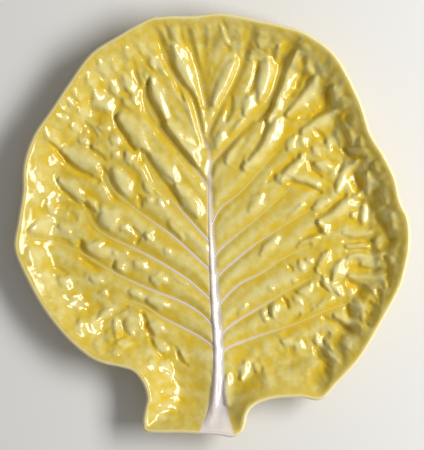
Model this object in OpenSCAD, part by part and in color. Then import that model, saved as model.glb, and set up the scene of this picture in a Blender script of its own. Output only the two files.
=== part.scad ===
// Chop plate in the shape of one cabbage leaf, in glazed earthenware.
// The blade is one wall with a shallow well, a rising rim and folds between the veins.
// A rib, two fans of side veins and a foot ring are laid on it, each as its own solid.
// The stem points along -Y and the leaf's tip along +Y. The foot stands on z = 0.

/* [Leaf] */
// Length from the end of the stem to the tip
leaf_l = 340; // [320:1:380]
// Width across the widest lobes
leaf_w = 318; // [300:1:360]
// Mean height of the rim above the table
rim_h = 29; // [22:0.5:40]
// Thickness of the wall at the well
wall = 5; // [4:0.1:7]
// Width of the sloping band inside the rim
slope_w = 36; // [26:1:40]
// How far the rim waves above and below its mean height
rim_wave = 1.5; // [0:0.1:3]
// Width of the rounded lip
lip_w = 3.6; // [2.5:0.1:5]

/* [Relief] */
// Swell of the leaf between two veins
panel_h = 1.3; // [0:0.1:2]
// Height of the tallest fold
fold_h = 3.6; // [0:0.1:5]
// Depth of the valley that each vein lies in
valley_h = 0.8; // [0:0.1:1.2]

// Height of the broad swell under the lower rib
swell_h = 2.2; // [0:0.1:3]
// Half width of that swell
swell_w = 17; // [10:1:24]

/* [Rib and veins] */
// Width of the rib where it flares at the stem
rib_foot_w = 26; // [20:0.5:30]
// Height of the rib above the blade
rib_h = 3.2; // [2:0.1:5]
// Width of a side vein at the rib
vein_root_w = 2.8; // [2:0.1:3.4]
// Width of a side vein at its outer end
vein_tip_w = 1.4; // [1:0.1:2]
// Height of a side vein above the blade
vein_h = 1.2; // [0.6:0.1:2]
// How far a vein's root is drawn down along the rib
vein_hook = 4.5; // [0:0.5:7]

/* [Foot] */
// Outer diameter of the foot ring
foot_d = 168; // [140:1:176]
// Width of the foot ring where it joins the plate
foot_w = 7; // [5:0.5:10]
// Height of the foot ring
foot_h = 5; // [3:0.5:8]
// Width of the flat unglazed band that the plate stands on
foot_flat_w = 3; // [2:0.1:4]

/* [Hidden] */

yellow_glaze = [0.85, 0.74, 0.25];
white_glaze = [0.87, 0.84, 0.80];
bare_clay = [0.90, 0.86, 0.74];

// The outline, clockwise from the middle of the stem's end, in shares of leaf_w and leaf_l.
// Point 0 is the stem's end, point 30 the tip. Rows of the blade end at points 2 to 28
// on the left and 58 to 32 on the right.
outline_shares = [
    [0.011, -0.494], [-0.075, -0.489],
    [-0.163, -0.487], [-0.176, -0.464], [-0.171, -0.431], [-0.166, -0.405], [-0.177, -0.372],
    [-0.201, -0.345], [-0.236, -0.334], [-0.276, -0.326], [-0.317, -0.307], [-0.372, -0.262],
    [-0.425, -0.200], [-0.465, -0.135], [-0.500, -0.057], [-0.492, 0.007], [-0.480, 0.077],
    [-0.477, 0.143], [-0.452, 0.211], [-0.407, 0.273], [-0.362, 0.336], [-0.307, 0.404],
    [-0.236, 0.447], [-0.191, 0.472], [-0.156, 0.488], [-0.131, 0.491], [-0.101, 0.493],
    [-0.083, 0.493], [-0.065, 0.493], [-0.045, 0.494],
    [-0.025, 0.496], [-0.002, 0.499],
    [0.023, 0.500], [0.060, 0.495], [0.116, 0.484], [0.178, 0.471], [0.241, 0.451],
    [0.314, 0.397], [0.374, 0.292], [0.400, 0.218], [0.435, 0.163], [0.462, 0.110],
    [0.475, 0.058], [0.495, 0.016], [0.500, -0.031], [0.495, -0.078], [0.480, -0.135],
    [0.462, -0.172], [0.437, -0.214], [0.377, -0.309], [0.317, -0.372], [0.274, -0.411],
    [0.221, -0.406], [0.163, -0.408], [0.123, -0.417], [0.100, -0.430], [0.089, -0.445],
    [0.084, -0.466], [0.075, -0.487], [0.050, -0.499]
];
tip_point = 30;
first_row_point = 2;

// The rib's centre line from the stem's end to the tip, in equal steps of its length
rib_line_shares = [
    [0.011, -0.494], [0.017, -0.329], [0.006, -0.164], [-0.003, 0.001],
    [-0.008, 0.166], [-0.018, 0.331], [-0.025, 0.496]
];
// Width of the rib along its length, in shares of rib_foot_w
rib_width_shares = [
    [0, 1], [0.036, 0.79], [0.06, 0.61], [0.083, 0.52], [0.11, 0.45], [0.155, 0.33], [0.25, 0.30],
    [0.32, 0.29], [0.44, 0.20], [0.56, 0.16], [0.68, 0.12], [0.80, 0.10], [1, 0.08]
];
// Height of the rib along its length, in shares of rib_h
rib_height_shares = [[0, 0.35], [0.04, 0.8], [0.1, 1], [0.45, 0.85], [0.8, 0.5], [1, 0.15]];
// Height of the rib's half round section, from its edge to its middle
rib_section_shares = [[0, 1], [0.5, 0.78], [1, 0]];

// Each vein's row number, counted in outline points from the stem's corner
vein_rows = [for (k = [0:7]) 10 + 2 * k];
last_row = 26;
// Where the rows leave the rib, as [row, share of the rib's length]
left_root_shares = [
    [0, 0], [10, 0.214], [12, 0.282], [14, 0.342], [16, 0.41], [18, 0.479],
    [20, 0.624], [22, 0.729], [24, 0.80], [26, 1]
];
right_root_shares = [
    [0, 0], [10, 0.207], [12, 0.266], [14, 0.33], [16, 0.391], [18, 0.446],
    [20, 0.527], [22, 0.657], [24, 0.738], [26, 1]
];
// The point half way along a row, for rows 0, 2, 4 and so on up to the last
left_middle_shares = [
    [-0.085, -0.489], [-0.083, -0.441], [-0.080, -0.390], [-0.115, -0.320], [-0.160, -0.262],
    [-0.211, -0.177], [-0.251, -0.113], [-0.244, -0.036], [-0.236, 0.063], [-0.173, 0.152],
    [-0.151, 0.265], [-0.085, 0.345], [-0.058, 0.399], [-0.045, 0.494]
];
right_middle_shares = [
    [0.065, -0.495], [0.065, -0.450], [0.078, -0.411], [0.126, -0.379], [0.178, -0.320],
    [0.234, -0.226], [0.259, -0.128], [0.261, -0.041], [0.244, 0.030], [0.221, 0.086],
    [0.186, 0.192], [0.136, 0.281], [0.060, 0.352], [0.000, 0.499]
];

// Folds and creases as [half width in shares of leaf_w, height in shares of fold_h, and the
// points of the middle line in shares of leaf_w and leaf_l]. A crease's height is below zero.
left_fold_shares = [
    // the folds and creases beside the upper rib
    [0.030, 0.80, [-0.085, 0.411], [-0.060, 0.373], [-0.038, 0.326]],
    [0.037, 1.00, [-0.146, 0.354], [-0.128, 0.307], [-0.098, 0.260], [-0.063, 0.213], [-0.033, 0.166]],
    [0.030, 0.80, [-0.146, 0.162], [-0.116, 0.119], [-0.078, 0.072], [-0.040, 0.030]],
    [0.034, 0.80, [-0.226, 0.256], [-0.193, 0.223], [-0.158, 0.180]],
    [0.020, 0.50, [-0.201, 0.157], [-0.161, 0.110], [-0.116, 0.058]],
    [0.022, -0.65, [-0.126, 0.418], [-0.106, 0.378], [-0.083, 0.340], [-0.055, 0.298], [-0.038, 0.260]],
    [0.020, -0.80, [-0.163, 0.335], [-0.171, 0.307], [-0.161, 0.279], [-0.126, 0.218], [-0.085, 0.176]],
    [0.022, -0.60, [-0.153, 0.145], [-0.136, 0.105], [-0.111, 0.077], [-0.075, 0.039]],
    // the upper left lobe
    [0.032, 0.60, [-0.291, 0.307], [-0.264, 0.279]], [0.027, 0.55, [-0.283, 0.382], [-0.273, 0.364]],
    [0.027, 0.60, [-0.307, 0.347], [-0.299, 0.331]], [0.024, 0.65, [-0.332, 0.270], [-0.309, 0.260]],
    [0.037, 0.80, [-0.367, 0.176], [-0.327, 0.157], [-0.289, 0.136]],
    [0.021, -0.55, [-0.410, 0.194], [-0.392, 0.166], [-0.362, 0.145], [-0.332, 0.122], [-0.289, 0.105]],
    // the middle of the left side
    [0.020, 0.65, [-0.382, 0.105], [-0.352, 0.086], [-0.322, 0.065]],
    [0.040, 0.75, [-0.271, 0.035], [-0.249, 0.002]], [0.040, 0.95, [-0.239, 0.124], [-0.221, 0.077]],
    [0.021, -0.60, [-0.324, 0.051], [-0.302, -0.005], [-0.281, -0.019], [-0.219, -0.045]],
    [0.021, -0.60, [-0.276, 0.138], [-0.271, 0.105], [-0.256, 0.077], [-0.211, 0.046]],
    [0.040, 0.80, [-0.307, -0.052], [-0.281, -0.064]], [0.030, 0.75, [-0.447, -0.010], [-0.407, 0.011]],
    [0.021, -0.60, [-0.339, -0.057], [-0.324, -0.078], [-0.302, -0.095], [-0.271, -0.104]],
    [0.034, 0.65, [-0.457, -0.059], [-0.447, -0.083]], [0.024, 0.65, [-0.236, -0.097], [-0.224, -0.106]],
    [0.024, 0.55, [-0.161, -0.022], [-0.151, -0.029]], [0.030, 0.55, [-0.148, -0.127], [-0.123, -0.132]],
    // the lower left lobe
    [0.034, 0.70, [-0.151, -0.179], [-0.123, -0.186]], [0.030, 0.65, [-0.151, -0.238], [-0.126, -0.243]],
    [0.027, 0.65, [-0.136, -0.283], [-0.116, -0.290]], [0.030, 0.65, [-0.111, -0.323], [-0.090, -0.344]],
    [0.027, 0.60, [-0.206, -0.224], [-0.201, -0.257]], [0.020, 0.60, [-0.286, -0.224], [-0.259, -0.200]],
    [0.024, 0.45, [-0.335, -0.215], [-0.310, -0.205]], [0.022, 0.45, [-0.367, -0.250], [-0.350, -0.272]]
];
right_fold_shares = [
    // the folds and creases beside the upper rib
    [0.027, 0.85, [0.063, 0.387], [0.038, 0.340], [0.010, 0.288]],
    [0.027, 0.85, [0.146, 0.387], [0.138, 0.345], [0.126, 0.298]],
    [0.022, 0.70, [0.210, 0.385], [0.193, 0.364], [0.181, 0.321], [0.166, 0.279], [0.148, 0.251]],
    [0.030, 0.90, [0.171, 0.246], [0.156, 0.213], [0.126, 0.176], [0.085, 0.138]],
    [0.024, 0.60, [0.078, 0.241], [0.060, 0.199], [0.040, 0.152]],
    [0.022, -0.80, [0.191, 0.427], [0.176, 0.392], [0.168, 0.354], [0.158, 0.312], [0.143, 0.274]],
    [0.021, -0.55, [0.136, 0.244], [0.131, 0.211], [0.111, 0.180], [0.095, 0.157]],
    // the upper right lobe
    [0.024, 0.80, [0.264, 0.345], [0.251, 0.314], [0.224, 0.291], [0.196, 0.263]],
    [0.022, 0.70, [0.312, 0.267], [0.276, 0.244], [0.231, 0.220]],
    [0.020, 0.65, [0.234, 0.166], [0.206, 0.133], [0.181, 0.105]],
    [0.021, -0.55, [0.296, 0.331], [0.296, 0.303], [0.276, 0.274], [0.256, 0.256]],
    // the middle of the right side
    [0.022, 0.60, [0.201, 0.117], [0.236, 0.110], [0.271, 0.096]],
    [0.022, 0.55, [0.271, 0.147], [0.296, 0.138]],
    [0.020, 0.65, [0.364, 0.150], [0.337, 0.119], [0.322, 0.082]],
    [0.020, 0.75, [0.374, 0.072], [0.347, 0.051], [0.317, 0.030], [0.276, 0.004]],
    [0.020, -0.55, [0.196, 0.098], [0.234, 0.093], [0.274, 0.079]],
    [0.024, -0.60, [0.364, 0.117], [0.369, 0.077]], [0.020, 0.50, [0.126, 0.068], [0.101, 0.035]],
    [0.020, 0.50, [0.181, 0.077], [0.151, 0.044]], [0.020, 0.55, [0.231, 0.046], [0.196, 0.006]],
    [0.020, 0.60, [0.266, -0.026], [0.221, -0.055]], [0.020, 0.55, [0.166, -0.031], [0.126, -0.064]],
    [0.024, 0.75, [0.312, -0.125], [0.332, -0.088]], [0.020, 0.65, [0.304, -0.069], [0.281, -0.104]],
    [0.021, 0.50, [0.349, -0.076], [0.435, -0.071]],
    // the lower right lobe
    [0.022, 0.85, [0.158, -0.182], [0.158, -0.212]], [0.020, 0.55, [0.221, -0.158], [0.251, -0.144]],
    [0.022, 0.60, [0.244, -0.217], [0.299, -0.196]], [0.024, 0.65, [0.342, -0.269], [0.347, -0.287]],
    [0.022, 0.55, [0.317, -0.217], [0.352, -0.229], [0.382, -0.243]],
    [0.021, -0.60, [0.347, -0.139], [0.382, -0.151], [0.412, -0.177]],
    [0.021, -0.60, [0.284, -0.222], [0.317, -0.233], [0.352, -0.250]],
    [0.034, -0.40, [0.269, -0.332], [0.276, -0.384]]
];
// How sharply two folds that meet stay apart
fold_blend = 2.2;
// The relief ends in a smooth band along the rim: where it starts and is full, in shares of slope_w
plain_band_shares = [0.06, 0.33];
// Where along the rib the broad swell under it is full, and where it ends
lower_rib_shares = [0.10, 0.42];
// How soon the folds start beside a vein
clear_gain = 2.2;
// How far out each vein keeps the folds apart, as [row, share of the way from the rib to the rim]
vein_reach_shares = [[0, 0.85], [12, 0.80], [18, 0.60], [20, 0.45], [22, 0.50], [24, 0.95], [26, 0.95]];
vein_fade_share = 0.25;

// The lip's section from the blade's top edge round to its underside:
// shares of lip_w in from the outline, and shares of wall above the rim's height
lip_shares = [[0.55, 0.16], [0, -0.40], [0.50, -1.08]];
under_share = 0.3;

// Place of the foot ring's centre along the leaf, as a share of its length
foot_place_share = 0.03;
foot_slope_share = 0.35;

stem_rows = 24;
gap_rows = 6;
// The first row beyond a vein, as a share of the way to the next vein
gap_edge_share = 0.19;
// Columns of the blade from the rib's edge to the rim, closer together near the rim
column_shares = [
    0.05, 0.11, 0.17, 0.235, 0.30, 0.365, 0.43, 0.495, 0.56, 0.625, 0.69, 0.755, 0.82, 0.88, 0.94, 1
];
vein_columns = 12;
round_steps = 12;

floor_z = foot_h + wall;
points_n = len(outline_shares);
columns_n = len(column_shares);

// A point of the closed curve that passes through all the points of a list
function round_curve(list, u) = let (
    n = len(list), i = floor(u), f = u - i,
    a = list[(i + n - 1) % n], b = list[(i + n) % n],
    c = list[(i + 1) % n], d = list[(i + 2) % n]
) b + f / 2 * ((c - a) + f * ((2 * a - 5 * b + 4 * c - d) + f * (3 * (b - c) + d - a)));

// The same for an open curve, with u from 0 to 1 over the whole list
function open_curve(list, u) = let (
    last = len(list) - 1, w = max(0, min(1, u)) * last, i = min(floor(w), last - 1), f = w - i,
    b = list[i], c = list[i + 1],
    a = i > 0 ? list[i - 1] : 2 * b - c,
    d = i + 2 <= last ? list[i + 2] : 2 * c - b
) b + f / 2 * ((c - a) + f * ((2 * a - 5 * b + 4 * c - d) + f * (3 * (b - c) + d - a)));

// The outline is fitted to leaf_w and leaf_l, with the middle of its box at the origin
raw_edge = [for (i = [0:points_n * round_steps - 1]) round_curve(outline_shares, i / round_steps)];
raw_x = [for (p = raw_edge) p.x];
raw_y = [for (p = raw_edge) p.y];
raw_middle = [(min(raw_x) + max(raw_x)) / 2, (min(raw_y) + max(raw_y)) / 2];
scale_x = leaf_w / (max(raw_x) - min(raw_x));
scale_y = leaf_l / (max(raw_y) - min(raw_y));
function place(share) = [(share.x - raw_middle.x) * scale_x, (share.y - raw_middle.y) * scale_y];

function unit(v) = v / norm(v);
function mix(a, b, f) = a + (b - a) * f;
function ease(f) = let (g = max(0, min(1, f))) g * g * (3 - 2 * g);
function cross_size(a, b) = abs(a.x * b.y - a.y * b.x);

// A point of the outline, moved in from it by a distance
function edge(u, inset) = let (
    here = place(round_curve(outline_shares, u)),
    along = unit(place(round_curve(outline_shares, u + 0.1)) - place(round_curve(outline_shares, u - 0.1)))
) here + inset * [along.y, -along.x];

function rib_centre(m) = place(open_curve(rib_line_shares, m));
function rib_half(m) = rib_foot_w / 2 * lookup(m, rib_width_shares);
function rib_point(side, m, across) = let (
    along = unit(rib_centre(min(1, m + 0.01)) - rib_centre(max(0, m - 0.01)))
) rib_centre(m) + side * across * rib_half(m) * [along.y, -along.x];

// How far a row near either end of the leaf follows the outline instead of its own curve
function stem_pull(row) = pow(max(0, 1 - row / 4), 2);
function tip_pull(row) = pow(max(0, 1 - (last_row - row) / 2), 2);
function root_share(side, row) = lookup(row, side < 0 ? left_root_shares : right_root_shares);
function middle_share(side, row) =
    open_curve(side < 0 ? left_middle_shares : right_middle_shares, row / last_row);

// Where the rib's edge meets the outline, in outline points from the rib's middle
function rib_end(side, at_tip) = let (
    here = at_tip ? tip_point : points_n,
    next = at_tip ? here + side : here - side
) rib_half(at_tip ? 1 : 0) / norm(edge(next, 0) - edge(here, 0));

function end_row_u(side, c, at_tip) = let (
    e = rib_end(side, at_tip),
    s = c <= 1 ? c * e : mix(e, first_row_point, c - 1)
) at_tip ? tip_point + side * s : points_n - side * s;

function row_u(side, row) =
    side < 0 ? first_row_point + row : points_n - first_row_point - row;

// A point of the blade in plan. c runs from 0 at the rib's middle over 1 at its edge to 2 at the rim
function inner_plan(side, row, c) = let (
    m = root_share(side, row),
    hooked = max(0, m - vein_hook / leaf_l * ease(row / vein_rows[0]) * (1 - tip_pull(row)))
) c <= 1 ? let (m_mid = (root_share(-1, row) + root_share(1, row)) / 2)
        rib_point(side, mix(m_mid, hooked, c), c)
    : let (
        t = c - 1,
        root = rib_point(side, m, 1),
        rim = edge(row_u(side, row), lip_w),
        pull = 2 * place(middle_share(side, row)) - (root + rim) / 2
    ) (1 - t) * (1 - t) * root + 2 * t * (1 - t) * pull + t * t * rim
        + (rib_point(side, hooked, 1) - root) * pow(1 - t, 14);

function end_gap(side, c, at_tip) =
    edge(end_row_u(side, c, at_tip), lip_w) - inner_plan(side, at_tip ? last_row : 0, c);
function plan(side, row, c) = let (a = stem_pull(row), b = tip_pull(row))
    inner_plan(side, row, c)
        + (a > 0 ? a * end_gap(side, c, false) : b > 0 ? b * end_gap(side, c, true) : [0, 0]);

// Half the width of a vein, and the change of row that crosses it, at a place on the vein
function vein_half(row, c) = let (t = max(0, c - 1))
    mix(vein_root_w, vein_tip_w, min(1, 1.3 * t)) / 2 * (1 - 0.3 * row / last_row);
function vein_row_step(side, row, c) = let (
    d = 0.05,
    over = (plan(side, row + d, c) - plan(side, row - d, c)) / (2 * d),
    along = plan(side, row, c + d) - plan(side, row, c)
) vein_half(row, c) * norm(along) / cross_size(over, along);

gap_shares = [for (i = [0:gap_rows - 1]) mix(gap_edge_share, 1 - gap_edge_share, i / (gap_rows - 1))];
// Rows as [row number, -1, 0 or 1 for a vein's lower edge, middle and upper edge]
rows = concat(
    [for (i = [0:stem_rows - 1]) [vein_rows[0] * i / stem_rows, 0]],
    [for (v = vein_rows) each concat(
        [for (e = [-1:1]) [v, e]],
        [for (f = gap_shares) [v + 2 * f, 0]]
    )],
    [[last_row, 0]]
);
columns = concat(
    [for (i = [columns_n - 1:-1:0]) -1 - column_shares[i]],
    [-1, -0.5, 0, 0.5, 1],
    [for (t = column_shares) 1 + t]
);
rows_n = len(rows);
across_n = len(columns);

function true_row(r, c) = let (row = rows[r][0], e = rows[r][1], side = c < 0 ? -1 : 1)
    e == 0 ? row : row + e * vein_row_step(side, row, max(1, min(1.95, abs(c))));
rows_at = [for (r = [0:rows_n - 1]) [for (c = columns) true_row(r, c)]];
plan_at = [for (r = [0:rows_n - 1]) [for (i = [0:across_n - 1])
    plan(columns[i] < 0 ? -1 : 1, rows_at[r][i], abs(columns[i]))]];

// Distance from the outline decides how far the blade has risen towards the rim
edge_line = [for (i = [0:points_n * 2 - 1]) edge(i / 2, 0)];
function side_distance(p, a, b) = let (v = b - a, f = max(0, min(1, ((p - a) * v) / (v * v))))
    norm(p - a - f * v);
function edge_distance(p) = min([for (i = [0:len(edge_line) - 1])
    side_distance(p, edge_line[i], edge_line[(i + 1) % len(edge_line)])]);
function rise_share(d) = let (x = max(0, 1 - max(0, d - lip_w) / slope_w))
    x * x * (1.6 - 0.6 * x);
function rim_z(p) = let (a = atan2(p.y, p.x))
    rim_h - lip_shares[0][1] * wall + rim_wave * (0.6 * sin(3 * a + 50) + 0.4 * sin(7 * a + 20));

function line_distance(p, line) =
    min([for (k = [0:len(line) - 2]) side_distance(p, line[k], line[k + 1])]);

// How high the folds of a list stand at a point, with soft valleys where they meet
function placed(list) = [for (m = list)
    [m[0] * leaf_w, abs(m[1]) * fold_h, [for (k = [2:len(m) - 1]) place(m[k])]]];
all_fold_shares = concat(left_fold_shares, right_fold_shares);
folds = placed([for (m = all_fold_shares) if (m[1] > 0) m]);
creases = placed([for (m = all_fold_shares) if (m[1] < 0) m]);
function swell_of(p, fold) =
    fold[1] * pow(max(0, 1 - pow(line_distance(p, fold[2]) / fold[0], 2)), 2);
function joined(p, list) = pow(
    [for (fold = list) pow(swell_of(p, fold), fold_blend)] * [for (fold = list) 1],
    1 / fold_blend
);

// Relief of the top: a swell between the veins, a valley at each vein, the folds and creases,
// and the broad swell that carries the lower rib
function vein_number(row) = row < vein_rows[0] ? row / vein_rows[0] : 1 + (row - vein_rows[0]) / 2;
function relief(side, row, c, p, d) = let (
    v = vein_number(row), t = max(0, abs(c) - 1), near = min(1, t / 0.08),
    f = v < 1 ? 0.5 : v - floor(v),
    reach = ease((lookup(row, vein_reach_shares) - t) / vein_fade_share),
    swell = v < 1 ? panel_h * v * v * 0.7
        : panel_h * sqrt(abs(sin(180 * f))) * mix(0.35, 1, ease(2.5 * t)),
    valley = v < 0.8 ? 0 : valley_h * pow(abs(cos(180 * (v < 1 ? v : f))), 12),
    at_vein = v < 0.8 ? 0 : 1 - ease(clear_gain * abs(sin(180 * (v < 1 ? v : f)))),
    clear = near * (1 - reach * at_vein),
    lower = ease((lower_rib_shares[1] - root_share(side, row)) / (lower_rib_shares[1] - lower_rib_shares[0]))
) (near * (swell - valley) + clear * (joined(p, folds) - joined(p, creases)))
        * ease((d / slope_w - plain_band_shares[0]) / (plain_band_shares[1] - plain_band_shares[0]))
    + swell_h * exp(-pow(line_distance(p, rib_line) / swell_w, 2)) * lower
        * ease(d / slope_w / plain_band_shares[1]);

rib_line = [for (m = [0:0.1:1]) rib_centre(m)];
distance_at = [for (r = [0:rows_n - 1]) [for (p = plan_at[r]) edge_distance(p)]];
top = [for (r = [0:rows_n - 1]) [for (i = [0:across_n - 1]) let (p = plan_at[r][i], d = distance_at[r][i])
    [p.x, p.y, mix(floor_z, rim_z(p), rise_share(d))
        + relief(columns[i] < 0 ? -1 : 1, rows_at[r][i], columns[i], p, d)]]];

// The underside is smooth, so it takes every second row and column of the top's grid
under = [for (r = [0:2:rows_n - 1]) [for (i = [0:2:across_n - 1])
    let (p = plan_at[r][i], f = rise_share(distance_at[r][i]))
    [p.x, p.y, mix(floor_z, rim_z(p), f) - wall * (1 + under_share * f)]]];

// The border of the grid, clockwise from above, as [row index, column index, outline point]
border = concat(
    [for (r = [0:rows_n - 2]) [r, 0, row_u(-1, rows_at[r][0])]],
    [for (i = [0:across_n - 2]) [rows_n - 1, i,
        end_row_u(columns[i] < 0 ? -1 : 1, abs(columns[i]), true)]],
    [for (r = [rows_n - 1:-1:1]) [r, across_n - 1, row_u(1, rows_at[r][across_n - 1])]],
    [for (i = [across_n - 1:-1:1]) [0, i,
        end_row_u(columns[i] < 0 ? -1 : 1, abs(columns[i]), false)]]
);
border_n = len(border);
lip = [for (s = lip_shares) [for (b = border) let (
    p = edge(b[2], s[0] * lip_w), z = rim_z(plan_at[b[0]][b[1]])
) [p.x, p.y, z + s[1] * wall]]];

function flat_list(rings) = [for (ring = rings) each ring];
// Two triangles on the square between places a, b of one line and c, d of the next
function square_faces(a, b, c, d) = [[a, c, b], [b, c, d]];
function flipped(faces) = [for (f = faces) [f[2], f[1], f[0]]];
function grid_faces(first, rows_here, columns_here) = [
    for (r = [0:rows_here - 2]) for (i = [0:columns_here - 2])
        let (a = first + r * columns_here + i)
            each square_faces(a, a + 1, a + columns_here, a + columns_here + 1)
];

module leaf_blade() {
    grid_n = rows_n * across_n;
    under_n = len(under) * len(under[0]);
    last = len(lip_shares) - 1;
    function ring_index(ring, i) = let (b = border[i % border_n])
        ring < 0 ? b[0] * across_n + b[1] : grid_n + under_n + ring * border_n + i % border_n;
    function under_index(i) = let (b = border[i % border_n])
        grid_n + b[0] / 2 * len(under[0]) + b[1] / 2;
    faces = concat(
        grid_faces(0, rows_n, across_n),
        flipped(grid_faces(grid_n, len(under), len(under[0]))),
        [for (ring = [-1:last - 1]) for (i = [0:border_n - 1])
            each square_faces(ring_index(ring, i), ring_index(ring, i + 1),
                ring_index(ring + 1, i), ring_index(ring + 1, i + 1))],
        [for (i = [0:2:border_n - 1]) each [
            [ring_index(last, i), under_index(i), ring_index(last, i + 1)],
            [ring_index(last, i + 1), under_index(i), under_index(i + 2)],
            [ring_index(last, i + 1), under_index(i + 2), ring_index(last, i + 2)]
        ]]
    );
    color(yellow_glaze)
        polyhedron(points = concat(flat_list(top), flat_list(under), flat_list(lip)), faces = faces);
}

// A bead laid on the blade: its underside is the blade's own surface, its top is raised,
// and both meet along its two edges. Each line of it runs across the bead.
module bead(lines, lifts) {
    n = len(lines);
    k = len(lines[0]);
    inner = k - 2;
    base_points = flat_list(lines);
    top_points = [for (r = [0:n - 1]) for (i = [1:k - 2]) lines[r][i] + [0, 0, lifts[r][i]]];
    function up(r, i) = i == 0 || i == k - 1 ? r * k + i : n * k + r * inner + i - 1;
    faces = concat(
        flipped(grid_faces(0, n, k)),
        [for (r = [0:n - 2]) for (i = [0:k - 2])
            each square_faces(up(r, i), up(r, i + 1), up(r + 1, i), up(r + 1, i + 1))],
        [for (r = [0, n - 1]) for (i = [0:k - 2]) let (
            pair = concat(
                i > 0 ? [[up(r, i), up(r, i + 1), r * k + i]] : [],
                i < k - 2 ? [[up(r, i + 1), r * k + i + 1, r * k + i]]
                    : []
            )
        ) each r == 0 ? pair : flipped(pair)]
    );
    polyhedron(points = concat(base_points, top_points), faces = faces);
}

module midrib() {
    first = columns_n;
    lines = [for (r = [0:rows_n - 1]) [for (i = [first:first + 4]) top[r][i]]];
    lifts = [for (r = [0:rows_n - 1]) let (
        m = (root_share(-1, rows[r][0]) + root_share(1, rows[r][0])) / 2
    ) [for (i = [first:first + 4])
        rib_h * lookup(m, rib_height_shares) * lookup(abs(columns[i]), rib_section_shares)]];
    color(white_glaze) bead(lines, lifts);
}

// One side's veins, each lying in its own valley from the rib outwards
module side_veins(side) {
    start = side < 0 ? columns_n : columns_n + 4;
    for (k = [0:len(vein_rows) - 1]) {
        lower = stem_rows + k * (gap_rows + 3);
        order = side < 0 ? [0:2] : [2:-1:0];
        lines = [for (n = [0:vein_columns]) [for (e = order) top[lower + e][start + side * n]]];
        lifts = [for (n = [0:vein_columns]) [0, vein_h * (1 - 0.7 * n / vein_columns), 0]];
        bead(lines, lifts);
    }
}

module left_side_veins() {
    color(white_glaze) side_veins(-1);
}

module right_side_veins() {
    color(white_glaze) side_veins(1);
}

module foot_ring() {
    outer = foot_d / 2;
    slope = (foot_w - foot_flat_w) / 2;
    chamfer = foot_h * foot_slope_share;
    color(bare_clay)
        translate([0, foot_place_share * leaf_l, 0])
            rotate_extrude($fn = 96)
                polygon([
                    [outer, foot_h], [outer - foot_w, foot_h],
                    [outer - foot_w + slope * foot_slope_share, chamfer],
                    [outer - foot_w + slope, 0],
                    [outer - slope, 0],
                    [outer - slope * foot_slope_share, chamfer]
                ]);
}

leaf_blade();
midrib();
left_side_veins();
right_side_veins();
foot_ring();
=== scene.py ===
# %% [markdown]
# # A cabbage leaf plate in glazed earthenware
# The plate is one fired casting: a leaf-shaped blade with a white rib, white side veins and
# a foot ring under it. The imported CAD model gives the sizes. Here each of its solids gets a
# finer skin: more relief, rounder edges and a glaze that pools in the hollows.

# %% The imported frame
import math

import bmesh
import bpy
import numpy as np
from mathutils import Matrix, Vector


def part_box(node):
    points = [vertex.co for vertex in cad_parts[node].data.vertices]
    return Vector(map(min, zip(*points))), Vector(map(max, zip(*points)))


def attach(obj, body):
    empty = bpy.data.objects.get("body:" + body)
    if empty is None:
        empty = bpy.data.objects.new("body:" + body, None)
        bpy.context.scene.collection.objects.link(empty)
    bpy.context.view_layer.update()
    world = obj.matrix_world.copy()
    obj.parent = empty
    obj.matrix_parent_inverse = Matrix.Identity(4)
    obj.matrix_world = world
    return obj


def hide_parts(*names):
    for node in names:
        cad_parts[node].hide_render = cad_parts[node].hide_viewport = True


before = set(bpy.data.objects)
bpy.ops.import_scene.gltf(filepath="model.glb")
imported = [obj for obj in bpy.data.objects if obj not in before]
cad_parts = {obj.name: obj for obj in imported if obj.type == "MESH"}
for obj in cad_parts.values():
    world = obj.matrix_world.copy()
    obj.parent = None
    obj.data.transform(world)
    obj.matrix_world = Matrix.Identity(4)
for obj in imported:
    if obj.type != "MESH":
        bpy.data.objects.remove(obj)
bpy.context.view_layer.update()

blade_low, blade_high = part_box("leaf_blade")

# %% [markdown]
# ## Sizes
# Blender works in metres, and a potter thinks in millimetres, so every size below is a
# number of millimetres times `mm`. They repeat the sizes that the solids were built with.

# %% Sizes of the leaf
mm = 0.001
rim_height = 29 * mm
rim_wave = 1.5 * mm
wall = 5 * mm
wall_growth = 0.3
slope_width = 36 * mm
lip_width = 3.6 * mm
foot_height = 5 * mm
floor_height = foot_height + wall
lip_rise_share = 0.16
print("the well's floor stands", round(floor_height / mm, 1), "mm above the table")

# %% [markdown]
# ## Places read off the photograph
# The relief is placed in pixels of the photograph, and one
# function turns pixels into metres: the camera looked straight down, so one scale is enough.

# %% From pixels to metres
photo_middle_px = np.array((212.0, 224.75))
metres_per_px = 0.799 * mm


def on_leaf(marks_px):
    """Plan places in metres of marks given in pixels of the photograph."""
    marks = np.asarray(marks_px, float) - photo_middle_px
    return marks * (metres_per_px, -metres_per_px)


print("the picture's top left corner in mm:", (on_leaf((0, 0)) / mm).round(1))

# %% [markdown]
# ## The outline
# The leaf's edge is a closed curve through 60 points. A Catmull-Rom curve passes through
# each point and needs no handles, so it is easy to place by hand. The points are shares of
# the leaf's width and length, and the curve is fitted to the box of the CAD blade.

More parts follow.
